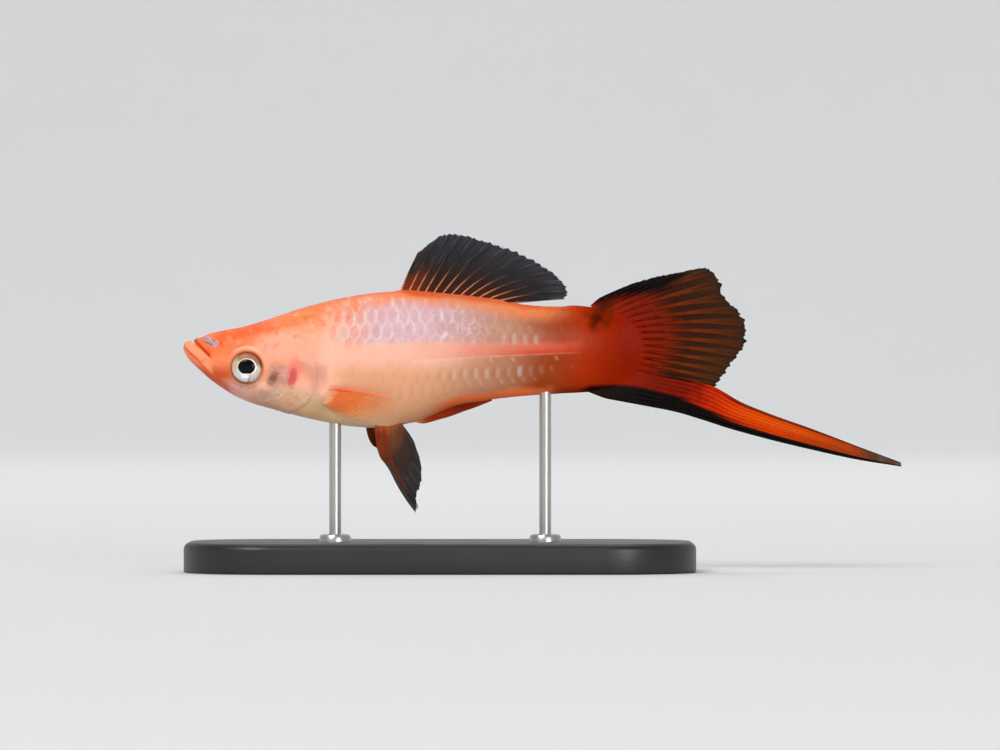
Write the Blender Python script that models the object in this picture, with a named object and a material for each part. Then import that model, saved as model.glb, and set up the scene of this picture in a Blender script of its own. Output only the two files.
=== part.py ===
"""Adult male swordtail, life size: a still museum model held above a flat base by two short rods.

The fish faces -X and turns its left side to -Y. +Z is up, and the origin is the middle of the base's
underside. Named sizes are millimetres. Every piece of the fish is first modelled straight, with s (the
distance back from the tip of the lower jaw) on X, y (towards the fish's right) on Y, and h (the height
above the level line through the mouth) on Z. settle() then bends it along the swimming fish's curve, turns
it into metres and sets it over the base.
"""

import math

import bmesh
import bpy
import numpy as np
from mathutils import Matrix, Vector

MM = 0.001
GAP = 0.3
NOSE_X = -34.3
AXIS_Z = 29.5
LEFT, RIGHT = -1, 1

# Profile of head, trunk and tail stalk: (s, size) at the places where it turns
BACK = [(0.0, 1.05), (1.2, 1.15), (1.9, 1.55), (2.7, 1.95), (5.9, 2.8), (7.6, 3.1), (10.3, 3.85), (15.6, 5.6),
        (20.9, 6.95), (28.7, 7.9), (34.3, 7.5), (42.3, 6.6), (46.5, 6.05), (50.3, 5.9), (55.0, 6.05),
        (61.0, 5.7)]
BELLY = [(0.0, -0.6), (1.6, -2.1), (3.7, -4.0), (5.9, -5.5), (7.6, -6.45), (12.9, -8.15), (18.3, -9.5),
         (23.6, -10.3), (28.9, -10.1), (31.6, -9.25), (34.3, -8.1), (36.9, -7.3), (39.6, -6.85), (44.9, -6.2),
         (50.3, -5.85), (55.6, -5.7), (61.0, -5.4)]
HALF_WIDTH = [(0.0, 1.2), (1.4, 1.75), (3.4, 2.45), (6.0, 3.25), (8.7, 3.85), (12.0, 4.3), (17.0, 4.7),
              (22.0, 4.85), (27.0, 4.65), (32.0, 4.15), (38.0, 3.4), (44.0, 2.75), (50.0, 2.2), (55.0, 1.6),
              (61.0, 0.7)]
WIDEST = [(0.0, 0.25), (1.4, -0.1), (3.4, -0.3), (8.7, -0.7), (14.0, -1.2), (22.0, -1.4), (32.0, -0.8),
          (44.0, 0.0), (61.0, 0.1)]
UPPER_FULLNESS = [(0.0, 2.0), (4.0, 2.4), (9.0, 2.7), (16.0, 2.35), (30.0, 2.1), (61.0, 2.0)]
LOWER_FULLNESS = [(0.0, 2.0), (9.0, 2.0), (18.0, 2.1), (28.0, 2.15), (40.0, 2.0), (61.0, 2.0)]
NOSE_LENGTH = 1.2
RING_SIDES = 36
HEAD_RING_STEP, TRUNK_RING_STEP = 0.62, 1.4

# The swimming fish curves to its right towards the tail, and slightly towards the snout
BEND_START = 24.0
TAIL_BEND, HEAD_BEND = 0.0008, 0.0005

# Lines that part the body, in side view
MOUTH = [(0.9, 1.8), (1.5, 1.15), (2.4, 0.25), (3.5, -0.85)]
JAW_REAR = [(4.45, -2.9), (5.5, -6.8)]
GILL_SLIT = [(13.4, 8.5), (14.4, 3.6), (16.2, 1.4), (17.7, -1.2), (18.0, -4.0), (17.0, -6.6), (14.6, -8.3),
             (11.6, -11.0)]
COVER_FRONT = [(19.5, 1.6), (15.0, 1.8), (12.8, 0.4), (11.75, -2.4), (12.1, -5.2), (13.7, -7.1), (16.0, -7.7),
               (19.5, -7.0)]
COVER_THICK, COVER_PROUD = 0.9, 0.13
HEAD_END = 20.0
STALK_START = 43.4
STALK_END = 58.6
STALK_END_SETBACK, STALK_END_HALF_HEIGHT, STALK_END_POWER = 3.9, 6.0, 2.6

# Head
EYE_S, EYE_H = 8.65, -2.3
EYE_RADIUS, EYE_DOME, EYE_DEPTH = 2.08, 0.8, 1.7
EYE_SINK = 0.28
EYE_FORWARD = 7.0
ORBIT_RIM = 0.26
UPPER_LIP = [(1.6, 1.6), (2.64, 0.5), (3.72, -0.6)]
LOWER_LIP = [(0.85, 1.2), (2.0, 0.08), (3.2, -1.15)]
LIP_RADIUS, LIP_END_RADIUS = 0.38, 0.2
NOSTRILS = [(4.1, 1.3), (5.15, 0.85)]
NOSTRIL_RADIUS, NOSTRIL_DEPTH = 0.3, 0.55

# Fins. A ray is a crest on both faces of the membrane, with a foot on each side of it.
MEMBRANE_HALF, EDGE_HALF = 0.25, 0.15
RAY_RISE, RAY_FOOT = 0.15, 0.3
EDGE_NOTCH = 0.35
DORSAL_RAYS, FAN_RAYS, SWORD_RAYS, PECTORAL_RAYS, PELVIC_RAYS, GONOPODIUM_RAYS = 12, 14, 5, 8, 6, 3
# share of the way back along the fin, root s, tip s, tip h, direction in which the ray leaves its root
DORSAL = [(0.0, 28.9, 31.4, 13.2, 70), (0.08, 29.9, 34.2, 15.3, 66), (0.17, 31.0, 35.7, 15.7, 62),
          (0.25, 32.0, 37.3, 15.6, 60), (0.4, 34.0, 40.8, 14.6, 54), (0.55, 36.0, 45.0, 13.1, 46),
          (0.7, 38.0, 48.6, 11.1, 36), (0.82, 39.6, 50.7, 9.4, 26), (0.92, 41.0, 51.6, 7.7, 16),
          (1.0, 42.1, 51.0, 6.85, 6)]
# share of the way down the fan, root h, tip s, tip h, direction at the root
FAN = [(0.0, 5.9, 57.2, 7.6, 38), (0.05, 5.75, 60.4, 8.95, 34), (0.1, 5.5, 63.8, 9.9, 32),
       (0.15, 5.2, 66.9, 10.5, 30), (0.21, 4.8, 70.0, 11.1, 29), (0.28, 4.3, 71.7, 9.6, 26),
       (0.37, 3.7, 72.6, 7.1, 20), (0.47, 2.9, 74.9, 4.7, 14), (0.57, 2.1, 75.5, 2.3, 9),
       (0.67, 1.2, 75.1, 0.3, 3), (0.78, 0.2, 73.6, -1.6, -3), (0.89, -0.9, 72.4, -3.4, -8),
       (1.0, -2.1, 71.3, -4.8, -11)]
# share of the way to the tip, s, h
SWORD_TOP = [(0.0, 58.6, -2.65), (0.13, 64.0, -3.85), (0.25, 68.8, -4.55), (0.33, 71.4, -5.35),
             (0.4, 73.8, -6.8), (0.52, 77.6, -8.4), (0.7, 84.4, -10.8), (0.85, 90.0, -12.9),
             (1.0, 95.9, -15.05)]
SWORD_FOOT = [(0.0, 55.0, -5.75), (0.13, 60.1, -7.0), (0.25, 66.0, -8.1), (0.33, 69.4, -9.1),
              (0.4, 72.5, -10.1), (0.52, 77.4, -11.5), (0.7, 84.2, -13.2), (0.85, 90.0, -14.5),
              (1.0, 96.0, -15.5)]
SWORD_HALF = 0.3
FAN_ROOT_FADE, SWORD_ROOT_FADE = 0.15, 0.07
# share of the way down the fin, root h, tip s, tip h, direction at the root
PECTORAL = [(0.0, -4.6, 28.5, -6.3, -6), (0.2, -5.05, 28.9, -7.2, -10), (0.45, -5.6, 28.0, -8.5, -16),
            (0.7, -6.15, 25.8, -9.3, -26), (1.0, -6.8, 22.8, -9.2, -40)]
PECTORAL_S, PECTORAL_FLARE = 19.6, 0.15
PECTORAL_ROOT_HALF = 0.3
PECTORAL_LOBE_LENGTH, PECTORAL_LOBE_OUT, PECTORAL_LOBE_HALF_HEIGHT = 1.25, 0.9, 1.65
# share of the way back, root s, tip s, length down the spread fin, direction at the root
PELVIC = [(0.0, 26.3, 31.3, 12.4, 88), (0.2, 26.8, 31.4, 11.4, 86), (0.4, 27.3, 31.3, 10.0, 82),
          (0.6, 27.8, 31.9, 8.2, 74), (0.8, 28.3, 31.8, 5.6, 60), (1.0, 28.8, 30.9, 2.9, 46)]
PELVIC_LOBE, PELVIC_LOBE_LENGTH = 0.65, 0.42
PELVIC_ROOT_Y, PELVIC_HALF = 1.3, 0.27
# side, spread from straight down in degrees, shift back along the belly, share of the full length
PELVIC_FINS = {"left": (LEFT, 14.0, 0.0, 1.0), "right": (RIGHT, 48.0, -1.2, 0.88)}
# share of the way to the tip, s, depth from its upper to its lower edge
GONOPODIUM = [(0.0, 30.9, 0.5), (0.3, 33.7, 0.85), (0.6, 36.9, 0.7), (0.85, 39.7, 0.42), (1.0, 41.0, 0.3)]
GONOPODIUM_HALF = 0.4

# Stand
BASE_LENGTH, BASE_WIDTH, BASE_HEIGHT = 68.0, 34.0, 4.0
BASE_CORNER, BASE_BEVEL, BASE_FOOT_BEVEL = 12.0, 0.9, 0.3
ROD_X = {"front": -14.0, "rear": 14.0}
ROD_RADIUS, ROD_SINK = 0.8, 1.2
BOSS_RADIUS, BOSS_HEIGHT, BOSS_HOLE_DEPTH = 2.1, 1.0, 3.0

# colour, roughness, metallic
LOOKS = {
    "skin": ((0.86, 0.36, 0.18), 0.38, 0.0),
    "tail_skin": ((0.70, 0.15, 0.04), 0.38, 0.0),
    "eye": ((0.75, 0.72, 0.62), 0.12, 0.0),
    "dark_fin": ((0.12, 0.07, 0.06), 0.42, 0.0),
    "red_fin": ((0.72, 0.17, 0.03), 0.42, 0.0),
    "clear_fin": ((0.82, 0.42, 0.22), 0.42, 0.0),
    "base": ((0.03, 0.03, 0.032), 0.35, 0.0),
    "rod": ((0.62, 0.60, 0.56), 0.28, 1.0),
}


class Line:
    """A smooth curve through stations (place, value, ...), held level beyond its ends."""

    def __init__(self, stations):
        table = np.asarray(stations, float)
        self.places, self.values = table[:, 0], table[:, 1:]
        self.slopes = np.gradient(self.values, self.places, axis=0)

    def __call__(self, at):
        at = min(max(at, self.places[0]), self.places[-1])
        i = min(int(np.searchsorted(self.places, at, side="right")) - 1, len(self.places) - 2)
        run = self.places[i + 1] - self.places[i]
        t = (at - self.places[i]) / run
        found = ((2 * t**3 - 3 * t**2 + 1) * self.values[i] + (t**3 - 2 * t**2 + t) * run * self.slopes[i]
                 + (3 * t**2 - 2 * t**3) * self.values[i + 1] + (t**3 - t**2) * run * self.slopes[i + 1])
        return float(found[0]) if len(found) == 1 else found


back, belly = Line(BACK), Line(BELLY)
half_width, widest = Line(HALF_WIDTH), Line(WIDEST)
upper_fullness, lower_fullness = Line(UPPER_FULLNESS), Line(LOWER_FULLNESS)


def section(s, inset=0.0):
    """Rise, fall, half width and widest height of the body at s, drawn in by inset."""
    middle = widest(s)
    rounding = math.sqrt(1 - (1 - s / NOSE_LENGTH) ** 2) if s < NOSE_LENGTH else 1.0
    rise = (back(s) - middle) * rounding - inset
    fall = (middle - belly(s)) * rounding - inset
    return max(rise, 0.01), max(fall, 0.01), max(half_width(s) * rounding - inset, 0.01), middle


def flank(s, h):
    """Half the body's width at s and h, or 0 outside it."""
    rise, fall, half, middle = section(s)
    share = (h - middle) / (rise if h > middle else fall)
    power = upper_fullness(s) if h > middle else lower_fullness(s)
    return half * (1 - abs(share) ** power) ** (1 / power) if abs(share) < 1 else 0.0


def underside(s, y):
    """Height of the body's underside at s, y away from the middle."""
    _, fall, half, middle = section(s)
    power = lower_fullness(s)
    return middle - fall * (1 - min(abs(y) / half, 1.0) ** power) ** (1 / power)


def bend(s):
    """How far the fish's middle lies to its right at s."""
    past = s - BEND_START
    return (TAIL_BEND if past > 0 else HEAD_BEND) * past * past


def lobe(h):
    """How far back the tail stalk's flesh reaches at that height."""
    return STALK_END - STALK_END_SETBACK * min(abs(h) / STALK_END_HALF_HEIGHT, 1.25) ** STALK_END_POWER


def clear_scene():
    for old in list(bpy.data.objects):
        bpy.data.objects.remove(old, do_unlink=True)


def to_object(name, shell):
    """Makes an object of a bmesh, its faces pointing out."""
    bmesh.ops.recalc_face_normals(shell, faces=shell.faces)
    mesh = bpy.data.meshes.new(name)
    shell.to_mesh(mesh)
    shell.free()
    made = bpy.data.objects.new(name, mesh)
    bpy.context.scene.collection.objects.link(made)
    return made


def apply_modifiers(target):
    graph = bpy.context.evaluated_depsgraph_get()
    done = bpy.data.meshes.new_from_object(target.evaluated_get(graph), depsgraph=graph)
    target.modifiers.clear()
    target.data = done


def combine(target, operation, others):
    """One Boolean of the target with all the others, which are then removed."""
    group = bpy.data.collections.new("tools")
    bpy.context.scene.collection.children.link(group)
    for other in others:
        bpy.context.scene.collection.objects.unlink(other)
        group.objects.link(other)
    modifier = target.modifiers.new(operation.lower(), "BOOLEAN")
    modifier.operation = operation
    modifier.operand_type = "COLLECTION"
    modifier.collection = group
    apply_modifiers(target)
    for other in others:
        bpy.data.objects.remove(other, do_unlink=True)
    bpy.data.collections.remove(group)
    return target


def keep_largest(target):
    """Leaves only the largest closed surface of an object."""
    shell = bmesh.new()
    shell.from_mesh(target.data)
    bmesh.ops.remove_doubles(shell, verts=shell.verts, dist=GAP / 1000)
    left, groups = set(shell.verts), []
    while left:
        found, waiting = set(), [left.pop()]
        while waiting:
            vert = waiting.pop()
            found.add(vert)
            near = {edge.other_vert(vert) for edge in vert.link_edges} & left
            left -= near
            waiting.extend(near)
        groups.append(found)
    largest = max(groups, key=len)
    bmesh.ops.delete(shell, geom=[v for g in groups if g is not largest for v in g], context="VERTS")
    shell.to_mesh(target.data)
    shell.free()


def dress(target, look):
    """Gives an object a material of its own and smooth shading between sharp edges."""
    colour, roughness, metallic = LOOKS[look]
    material = bpy.data.materials.new(target.name)
    material.use_nodes = True
    shader = material.node_tree.nodes["Principled BSDF"]
    shader.inputs["Base Color"].default_value = (*colour, 1.0)
    shader.inputs["Roughness"].default_value = roughness
    shader.inputs["Metallic"].default_value = metallic
    target.data.materials.clear()
    target.data.materials.append(material)
    target.data.shade_smooth()
    target.data.set_sharp_from_angle(angle=math.radians(35))


def settle(target, look):
    """Finishes a piece of the fish: largest surface only, bent, in metres, over the base."""
    keep_largest(target)
    for vert in target.data.vertices:
        s, y, h = vert.co
        vert.co = ((NOSE_X + s) * MM, (y + bend(s)) * MM, (AXIS_Z + h) * MM)
    dress(target, look)
    return target


def ring_places(first, last):
    """Places of the body's rings: closest at the nose, close over the head, wider on the trunk."""
    step = HEAD_RING_STEP if last <= HEAD_END + 2.0 else TRUNK_RING_STEP
    places = [first]
    while places[-1] < last:
        here = places[-1]
        places.append(min(here + (0.1 + here * 0.4 if here < NOSE_LENGTH else step), last))
    if last - places[-2] < 0.2:
        places.pop(-2)
    return places


def body_ring(s, inset):
    rise, fall, half, middle = section(s, inset)
    ring = []
    for i in range(RING_SIDES):
        turn = 2 * math.pi * (i + 0.5) / RING_SIDES
        across, up = math.cos(turn), math.sin(turn)
        power = 2 / (upper_fullness(s) if up > 0 else lower_fullness(s))
        y = half * math.copysign(abs(across) ** power, across)
        ring.append((s, y, middle + (rise if up > 0 else fall) * math.copysign(abs(up) ** power, up)))
    return ring


def body(name, first, last, inset=0.0):
    """The body between two places as one closed loft through its rings."""
    shell = bmesh.new()
    loops = []
    for s in ring_places(first, last):
        verts = [shell.verts.new(point) for point in body_ring(s, inset)]
        loops.append([shell.edges.new(pair) for pair in zip(verts, verts[1:] + verts[:1])])
    for ahead, behind in zip(loops, loops[1:]):
        bmesh.ops.bridge_loops(shell, edges=ahead + behind)
    bmesh.ops.holes_fill(shell, edges=loops[0] + loops[-1], sides=RING_SIDES)
    return to_object(name, shell)


def rounded(path, steps):
    """A smooth path through the given points, cut into even steps."""
    lengths = [0.0]
    for a, b in zip(path, path[1:]):
        lengths.append(lengths[-1] + math.dist(a, b))
    line = Line([(length, *point) for length, point in zip(lengths, path)])
    return [tuple(line(lengths[-1] * i / steps)) for i in range(steps + 1)]


def shifted(path, by):
    """The path moved sideways, to the left of its direction."""
    moved = []
    for i, (s, h) in enumerate(path):
        (s0, h0), (s1, h1) = path[max(i - 1, 0)], path[min(i + 1, len(path) - 1)]
        length = math.hypot(s1 - s0, h1 - h0)
        moved.append((s - by * (h1 - h0) / length, h + by * (s1 - s0) / length))
    return moved


def slab(outline, y_from=-9.0, y_to=9.0):
    """A block with that side view, from y_from to y_to."""
    shell = bmesh.new()
    rows = [[shell.verts.new((s, y, h)) for s, h in outline] for y in (y_from, y_to)]
    edges = [[shell.edges.new(pair) for pair in zip(row, row[1:] + row[:1])] for row in rows]
    shell.faces.new(rows[0])
    shell.faces.new(rows[1])
    bmesh.ops.bridge_loops(shell, edges=edges[0] + edges[1])
    return to_object("slab", shell)


def ahead_of(path, by, far):
    """All that lies ahead of a line that runs down the body, in side view."""
    edge = shifted(path, by)
    return [(far, edge[0][1]), *edge, (far, edge[-1][1])]


def tube(path, radii, resolution, closed=False):
    """A round bar along a path of (s, y, h), as thick as the radii say."""
    curve = bpy.data.curves.new("tube", "CURVE")
    curve.dimensions = "3D"
    curve.bevel_depth = 1.0
    curve.bevel_resolution = resolution
    curve.use_fill_caps = True
    spline = curve.splines.new("POLY")
    spline.points.add(len(path) - 1)
    spline.use_cyclic_u = closed
    for point, place, radius in zip(spline.points, path, radii):
        point.co = (*place, 1.0)
        point.radius = radius
    bar = bpy.data.objects.new("tube", curve)
    bpy.context.scene.collection.objects.link(bar)
    graph = bpy.context.evaluated_depsgraph_get()
    shell = bmesh.new()
    shell.from_mesh(bpy.data.meshes.new_from_object(bar.evaluated_get(graph), depsgraph=graph))
    bmesh.ops.remove_doubles(shell, verts=shell.verts, dist=GAP / 100)
    bpy.data.objects.remove(bar, do_unlink=True)
    return to_object("tube", shell)


def ball(name, place, radius, front, behind, sides=24, rings=12):
    """A ball round the Z axis, higher in front than behind or the other way, moved to its place."""
    shell = bmesh.new()
    bmesh.ops.create_uvsphere(shell, u_segments=sides, v_segments=rings, radius=1.0)
    for vert in shell.verts:
        x, y, z = vert.co
        vert.co = place @ Vector((x * radius, y * radius, z * (front if z > 0 else behind)))
    return to_object(name, shell)


def mouth_outline(by):
    """The side view of all that lies ahead of the mouth and the lower jaw's rear edge."""
    return ahead_of(rounded(MOUTH, 8) + JAW_REAR, by, -2.0)


def lip(stations):
    """A lip from one corner of the mouth round the front to the other, sunk into the skin at its ends."""
    line = Line([(0.0, *stations[0]), (0.5, *stations[1]), (1.0, *stations[2])])

    def width(share):
        return flank(*line(share)) - LIP_RADIUS * (0.35 + 0.45 * share**3)

    front = next(i for i in range(100) if width(i / 100) > 0.0) / 100
    s, h = line(front)
    side = [(s, 0.0, h)]
    for i in range(1, 9):
        share = front + (1 - front) * (1 - math.cos(0.5 * math.pi * i / 8))
        s, h = line(share)
        side.append((s, width(share), h))
    path = [(s, -y, h) for s, y, h in reversed(side[1:])] + side
    ends = len(side) - 1
    fades = [(abs(i - ends) / ends) ** 3 for i in range(len(path))]
    radii = [LIP_RADIUS + (LIP_END_RADIUS - LIP_RADIUS) * fade for fade in fades]
    return tube(path, radii, 2)


def eye_place(side):
    """Where an eye sits and how it faces: out to its side and a little forward."""
    outwards = Vector((-math.sin(math.radians(EYE_FORWARD)), side * math.cos(math.radians(EYE_FORWARD)), 0.0))
    turn = outwards.to_track_quat("Z", "X").to_matrix().to_4x4()
    return Matrix.Translation((EYE_S, side * (flank(EYE_S, EYE_H) - EYE_SINK), EYE_H)) @ turn


def orbit_rim(side):
    """A fine ring of skin round the eye."""
    path = []
    out = EYE_RADIUS + GAP + ORBIT_RIM / 2
    for i in range(28):
        turn = 2 * math.pi * i / 28
        s, h = EYE_S + out * math.cos(turn), EYE_H + out * math.sin(turn)
        eye_y = flank(EYE_S, EYE_H) - EYE_SINK + (s - EYE_S) * math.tan(math.radians(EYE_FORWARD))
        path.append((s, side * (flank(s, h) + 0.5 * max(eye_y - flank(s, h), 0.0) - 0.03), h))
    return tube(path, [ORBIT_RIM] * len(path), 1, closed=True)


def cover_room(side, grow, depth):
    """The space of a gill cover: its outline, from that depth under the skin outwards."""
    near, far = sorted((side * 0.4, side * 9.0))
    room = slab(shifted(rounded(COVER_FRONT, 20), -grow), near, far)
    return combine(room, "DIFFERENCE", [body("inner", 5.0, HEAD_END + 2.0, depth)])


def make_head():
    """Head from the upper lip to the gill slit, with eye sockets, rims, nostrils and room for the covers."""
    head = body("head", 0.01, HEAD_END)
    combine(head, "UNION", [lip(UPPER_LIP), orbit_rim(LEFT), orbit_rim(RIGHT)])
    holes = [slab(mouth_outline(GAP / 2))]
    for side in (LEFT, RIGHT):
        holes.append(ball("socket", eye_place(side), EYE_RADIUS + GAP, EYE_DOME + GAP, EYE_DEPTH + GAP, 28))
        for s, h in NOSTRILS:
            place = Matrix.Translation((s, side * flank(s, h), h))
            holes.append(ball("nostril", place, NOSTRIL_RADIUS, NOSTRIL_DEPTH, NOSTRIL_DEPTH, 10, 6))
    combine(head, "DIFFERENCE", holes)
    combine(head, "DIFFERENCE", [cover_room(side, GAP / 2, COVER_THICK + GAP) for side in (LEFT, RIGHT)])
    combine(head, "INTERSECT", [slab(ahead_of(rounded(GILL_SLIT, 18), -GAP / 2, -3.0))])
    settle(head, "skin")


def make_jaw():
    jaw = body("lower_jaw", 0.01, 8.0)
    combine(jaw, "UNION", [lip(LOWER_LIP)])
    combine(jaw, "INTERSECT", [slab(mouth_outline(-GAP / 2))])
    settle(jaw, "skin")


def make_gill_cover(name, side):
    cover = body(name, 9.0, HEAD_END, -COVER_PROUD)
    combine(cover, "INTERSECT", [cover_room(side, -GAP / 2, COVER_THICK)])
    combine(cover, "INTERSECT", [slab(ahead_of(rounded(GILL_SLIT, 18), -GAP / 2, -3.0))])
    settle(cover, "skin")


def make_eye(name, side):
    settle(ball(name, eye_place(side), EYE_RADIUS, EYE_DOME, EYE_DEPTH), "eye")


def rod_s(name):
    return ROD_X[name] - NOSE_X


def rod_top(name):
    """Height of a rod's end, a little way up inside the belly."""
    return belly(rod_s(name)) + ROD_SINK


def rod_hole(name):
    s = rod_s(name)
    return tube([(s, 0.0, -14.0), (s, 0.0, rod_top(name) + GAP)], [ROD_RADIUS + GAP] * 2, 6)


def pectoral_lobe(side):
    """The fleshy root of a pectoral fin, cut off square where the fin begins."""
    middle = 0.5 * (PECTORAL[0][1] + PECTORAL[-1][1])
    s = PECTORAL_S - GAP
    place = Matrix.Translation((s, side * flank(s, middle), middle))
    shape = Matrix.Diagonal((PECTORAL_LOBE_LENGTH, PECTORAL_LOBE_OUT, PECTORAL_LOBE_HALF_HEIGHT, 1.0))
    lobe_ball = ball("lobe", place @ shape, 1.0, 1.0, 1.0, 16, 10)
    return combine(lobe_ball, "DIFFERENCE", [slab([(s, 2.0), (s, -14.0), (s + 6.0, -14.0), (s + 6.0, 2.0)])])


def make_trunk():
    trunk = body("trunk", 10.6, STALK_START - GAP / 2)
    combine(trunk, "UNION", [pectoral_lobe(LEFT), pectoral_lobe(RIGHT)])
    combine(trunk, "DIFFERENCE", [slab(ahead_of(rounded(GILL_SLIT, 18), GAP / 2, 2.0)), rod_hole("front")])
    settle(trunk, "skin")


def make_stalk():
    """The tail stalk, whose flesh ends in a rounded lobe that the tail fin's rays grow from."""
    stalk = body("tail_stalk", STALK_START + GAP / 2, STALK_END + 2.0)
    heights = [8.0 - 0.5 * i for i in range(33)]
    behind = [(lobe(h), h) for h in heights] + [(70.0, -8.0), (70.0, 8.0)]
    combine(stalk, "DIFFERENCE", [slab(behind), rod_hole("rear")])
    settle(stalk, "tail_skin")


def leaving(root, tip, turn, v):
    """A place on a ray that leaves its root in the direction turn and curves over to its tip."""
    root, tip = np.array(root, float), np.array(tip, float)
    reach = 0.5 * np.linalg.norm(tip - root)
    knee = root + reach * np.array((math.cos(math.radians(turn)), math.sin(math.radians(turn))))
    return (1 - v) ** 2 * root + 2 * v * (1 - v) * knee + v * v * tip


def membrane(v, half=MEMBRANE_HALF):
    """Half thickness of a fin's membrane, from its root to its edge."""
    return half + (EDGE_HALF - half) * v**3


def make_fin(name, rays, rows, middle, half, look):
    """A fin as one closed sheet. middle(u, v) is its middle surface, and half(u, v) its half thickness.

    u runs across the rays and v along them. Each ray is a crest with a foot on either side, and ends
    EDGE_NOTCH beyond the membrane. Both faces are split into triangles alike, so that they can't cross.
    """
    shares = [i / (rays - 1) for i in range(rays)]
    along = [i / (rows - 1) for i in range(rows)]
    crests = [[np.array(middle(u, v)) for v in along] for u in shares]
    columns = []
    for i, (u, crest) in enumerate(zip(shares, crests)):
        tops = [half(u, v) + RAY_RISE * (1 - 0.5 * v) for v in along]
        for step in (-1, 0, 1):
            if not 0 <= i + step < rays:
                continue
            places, halves = [], []
            for r, v in enumerate(along):
                neighbour = crests[i + step][r]
                away = np.linalg.norm(neighbour - crest[r])
                share = min(RAY_FOOT / away, 0.42) if step else 0.0
                place = crest[r] + share * (neighbour - crest[r])
                if step and r == rows - 1:
                    inner = crest[r - 1] + share * (crests[i + step][r - 1] - crest[r - 1])
                    place = place + min(EDGE_NOTCH / np.linalg.norm(inner - place), 0.5) * (inner - place)
                places.append(place)
                halves.append(half(u + step * share / (rays - 1), v) if step else tops[r])
            columns.append((places, halves))
    shell = bmesh.new()
    layer = shell.verts.layers.deform.verify()
    thickest = max(max(halves) for _, halves in columns)
    grid = []
    for places, halves in columns:
        line = []
        for place, thick in zip(places, halves):
            vert = shell.verts.new(place)
            vert[layer][0] = thick / thickest
            line.append(vert)
        grid.append(line)
    for near, far in zip(grid, grid[1:]):
        for r in range(rows - 1):
            shell.faces.new((near[r], far[r], far[r + 1]))
            shell.faces.new((near[r], far[r + 1], near[r + 1]))
    fin = to_object(name, shell)
    fin.vertex_groups.new(name="thickness")
    thicken = fin.modifiers.new("thickness", "SOLIDIFY")
    thicken.thickness = 2 * thickest
    thicken.offset = 0.0
    thicken.vertex_group = "thickness"
    apply_modifiers(fin)
    settle(fin, look)


def make_dorsal():
    table = Line(DORSAL)

    def middle(u, v):
        root_s, tip_s, tip_h, turn = table(u)
        s, h = leaving((root_s, back(root_s) + GAP), (tip_s, tip_h), turn, v)
        return s, 0.0, h

    make_fin("dorsal_fin", DORSAL_RAYS, 7, middle, lambda u, v: membrane(v), "dark_fin")


def root_half(h):
    """Half thickness of the tail fin at its root: that of the flesh in front of it."""
    return max(flank(lobe(h), h * 0.97), MEMBRANE_HALF + 0.05)


def make_fan():
    table = Line(FAN)

    def middle(u, v):
        root_h, tip_s, tip_h, turn = table(u)
        s, h = leaving((lobe(root_h) + GAP, root_h), (tip_s, tip_h), turn, v)
        return s, 0.0, h

    def half(u, v):
        return membrane(v) + (root_half(table(u)[0]) - MEMBRANE_HALF) * math.exp(-v / FAN_ROOT_FADE)

    make_fin("tail_fan", FAN_RAYS, 9, middle, half, "red_fin")


def make_sword():
    """The drawn-out lower lobe. Its root follows the rounded end of the tail stalk."""
    top, foot = Line(SWORD_TOP), Line(SWORD_FOOT)
    top_h, foot_h = SWORD_TOP[0][2], SWORD_FOOT[0][2]

    def middle(u, v):
        s, h = (1 - u) * top(v) + u * foot(v)
        root_s = (1 - u) * SWORD_TOP[0][1] + u * SWORD_FOOT[0][1]
        return s + (lobe(top_h + (foot_h - top_h) * u) + GAP - root_s) * (1 - v) ** 12, 0.0, h

    def half(u, v):
        root = root_half(top_h + (foot_h - top_h) * min(max(u, 0.0), 1.0))
        return membrane(v, SWORD_HALF) + (root - SWORD_HALF) * math.exp(-v / SWORD_ROOT_FADE)

    make_fin("tail_sword", SWORD_RAYS, 16, middle, half, "red_fin")


def make_pectoral(name, side):
    """A pectoral fin behind its fleshy lobe, close to the flank at its root and flaring away behind."""
    table = Line(PECTORAL)

    def middle(u, v):
        root_h, tip_s, tip_h, turn = table(u)
        s, h = leaving((PECTORAL_S, root_h), (tip_s, tip_h), turn, v)
        out = flank(PECTORAL_S, root_h) + GAP + PECTORAL_ROOT_HALF
        return s, side * (out + PECTORAL_FLARE * (s - PECTORAL_S)), h

    def half(u, v):
        return membrane(v) + (PECTORAL_ROOT_HALF - RAY_RISE - MEMBRANE_HALF) * (1 - v) ** 4

    make_fin(name, PECTORAL_RAYS, 6, middle, half, "clear_fin")


def make_pelvic(name):
    side, spread, shift, scale = PELVIC_FINS[name]
    spread = math.radians(spread)
    table = Line(PELVIC)

    def middle(u, v):
        root_s, tip_s, length, turn = table(u)
        s, drop = leaving((root_s, 0.0), (tip_s, length * scale), turn, v)
        s -= PELVIC_LOBE * max(1 - 5 * u, 0.0) / (1 + math.exp((v - PELVIC_LOBE_LENGTH) / 0.035))
        root_h = underside(root_s + shift, PELVIC_ROOT_Y) - GAP
        return s + shift, side * (PELVIC_ROOT_Y + drop * math.sin(spread)), root_h - drop * math.cos(spread)

    make_fin("pelvic_fin_" + name, PELVIC_RAYS, 9, middle, lambda u, v: membrane(v, PELVIC_HALF), "dark_fin")


def make_gonopodium():
    """The male's rod-like anal fin, folded back under the belly."""
    table = Line(GONOPODIUM)

    def middle(u, v):
        s, depth = table(v)
        return s, 0.0, belly(s) - GAP - depth * u

    def half(u, v):
        return (GONOPODIUM_HALF - RAY_RISE) * (1 - 0.5 * v)

    make_fin("gonopodium", GONOPODIUM_RAYS, 9, middle, half, "red_fin")


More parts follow.
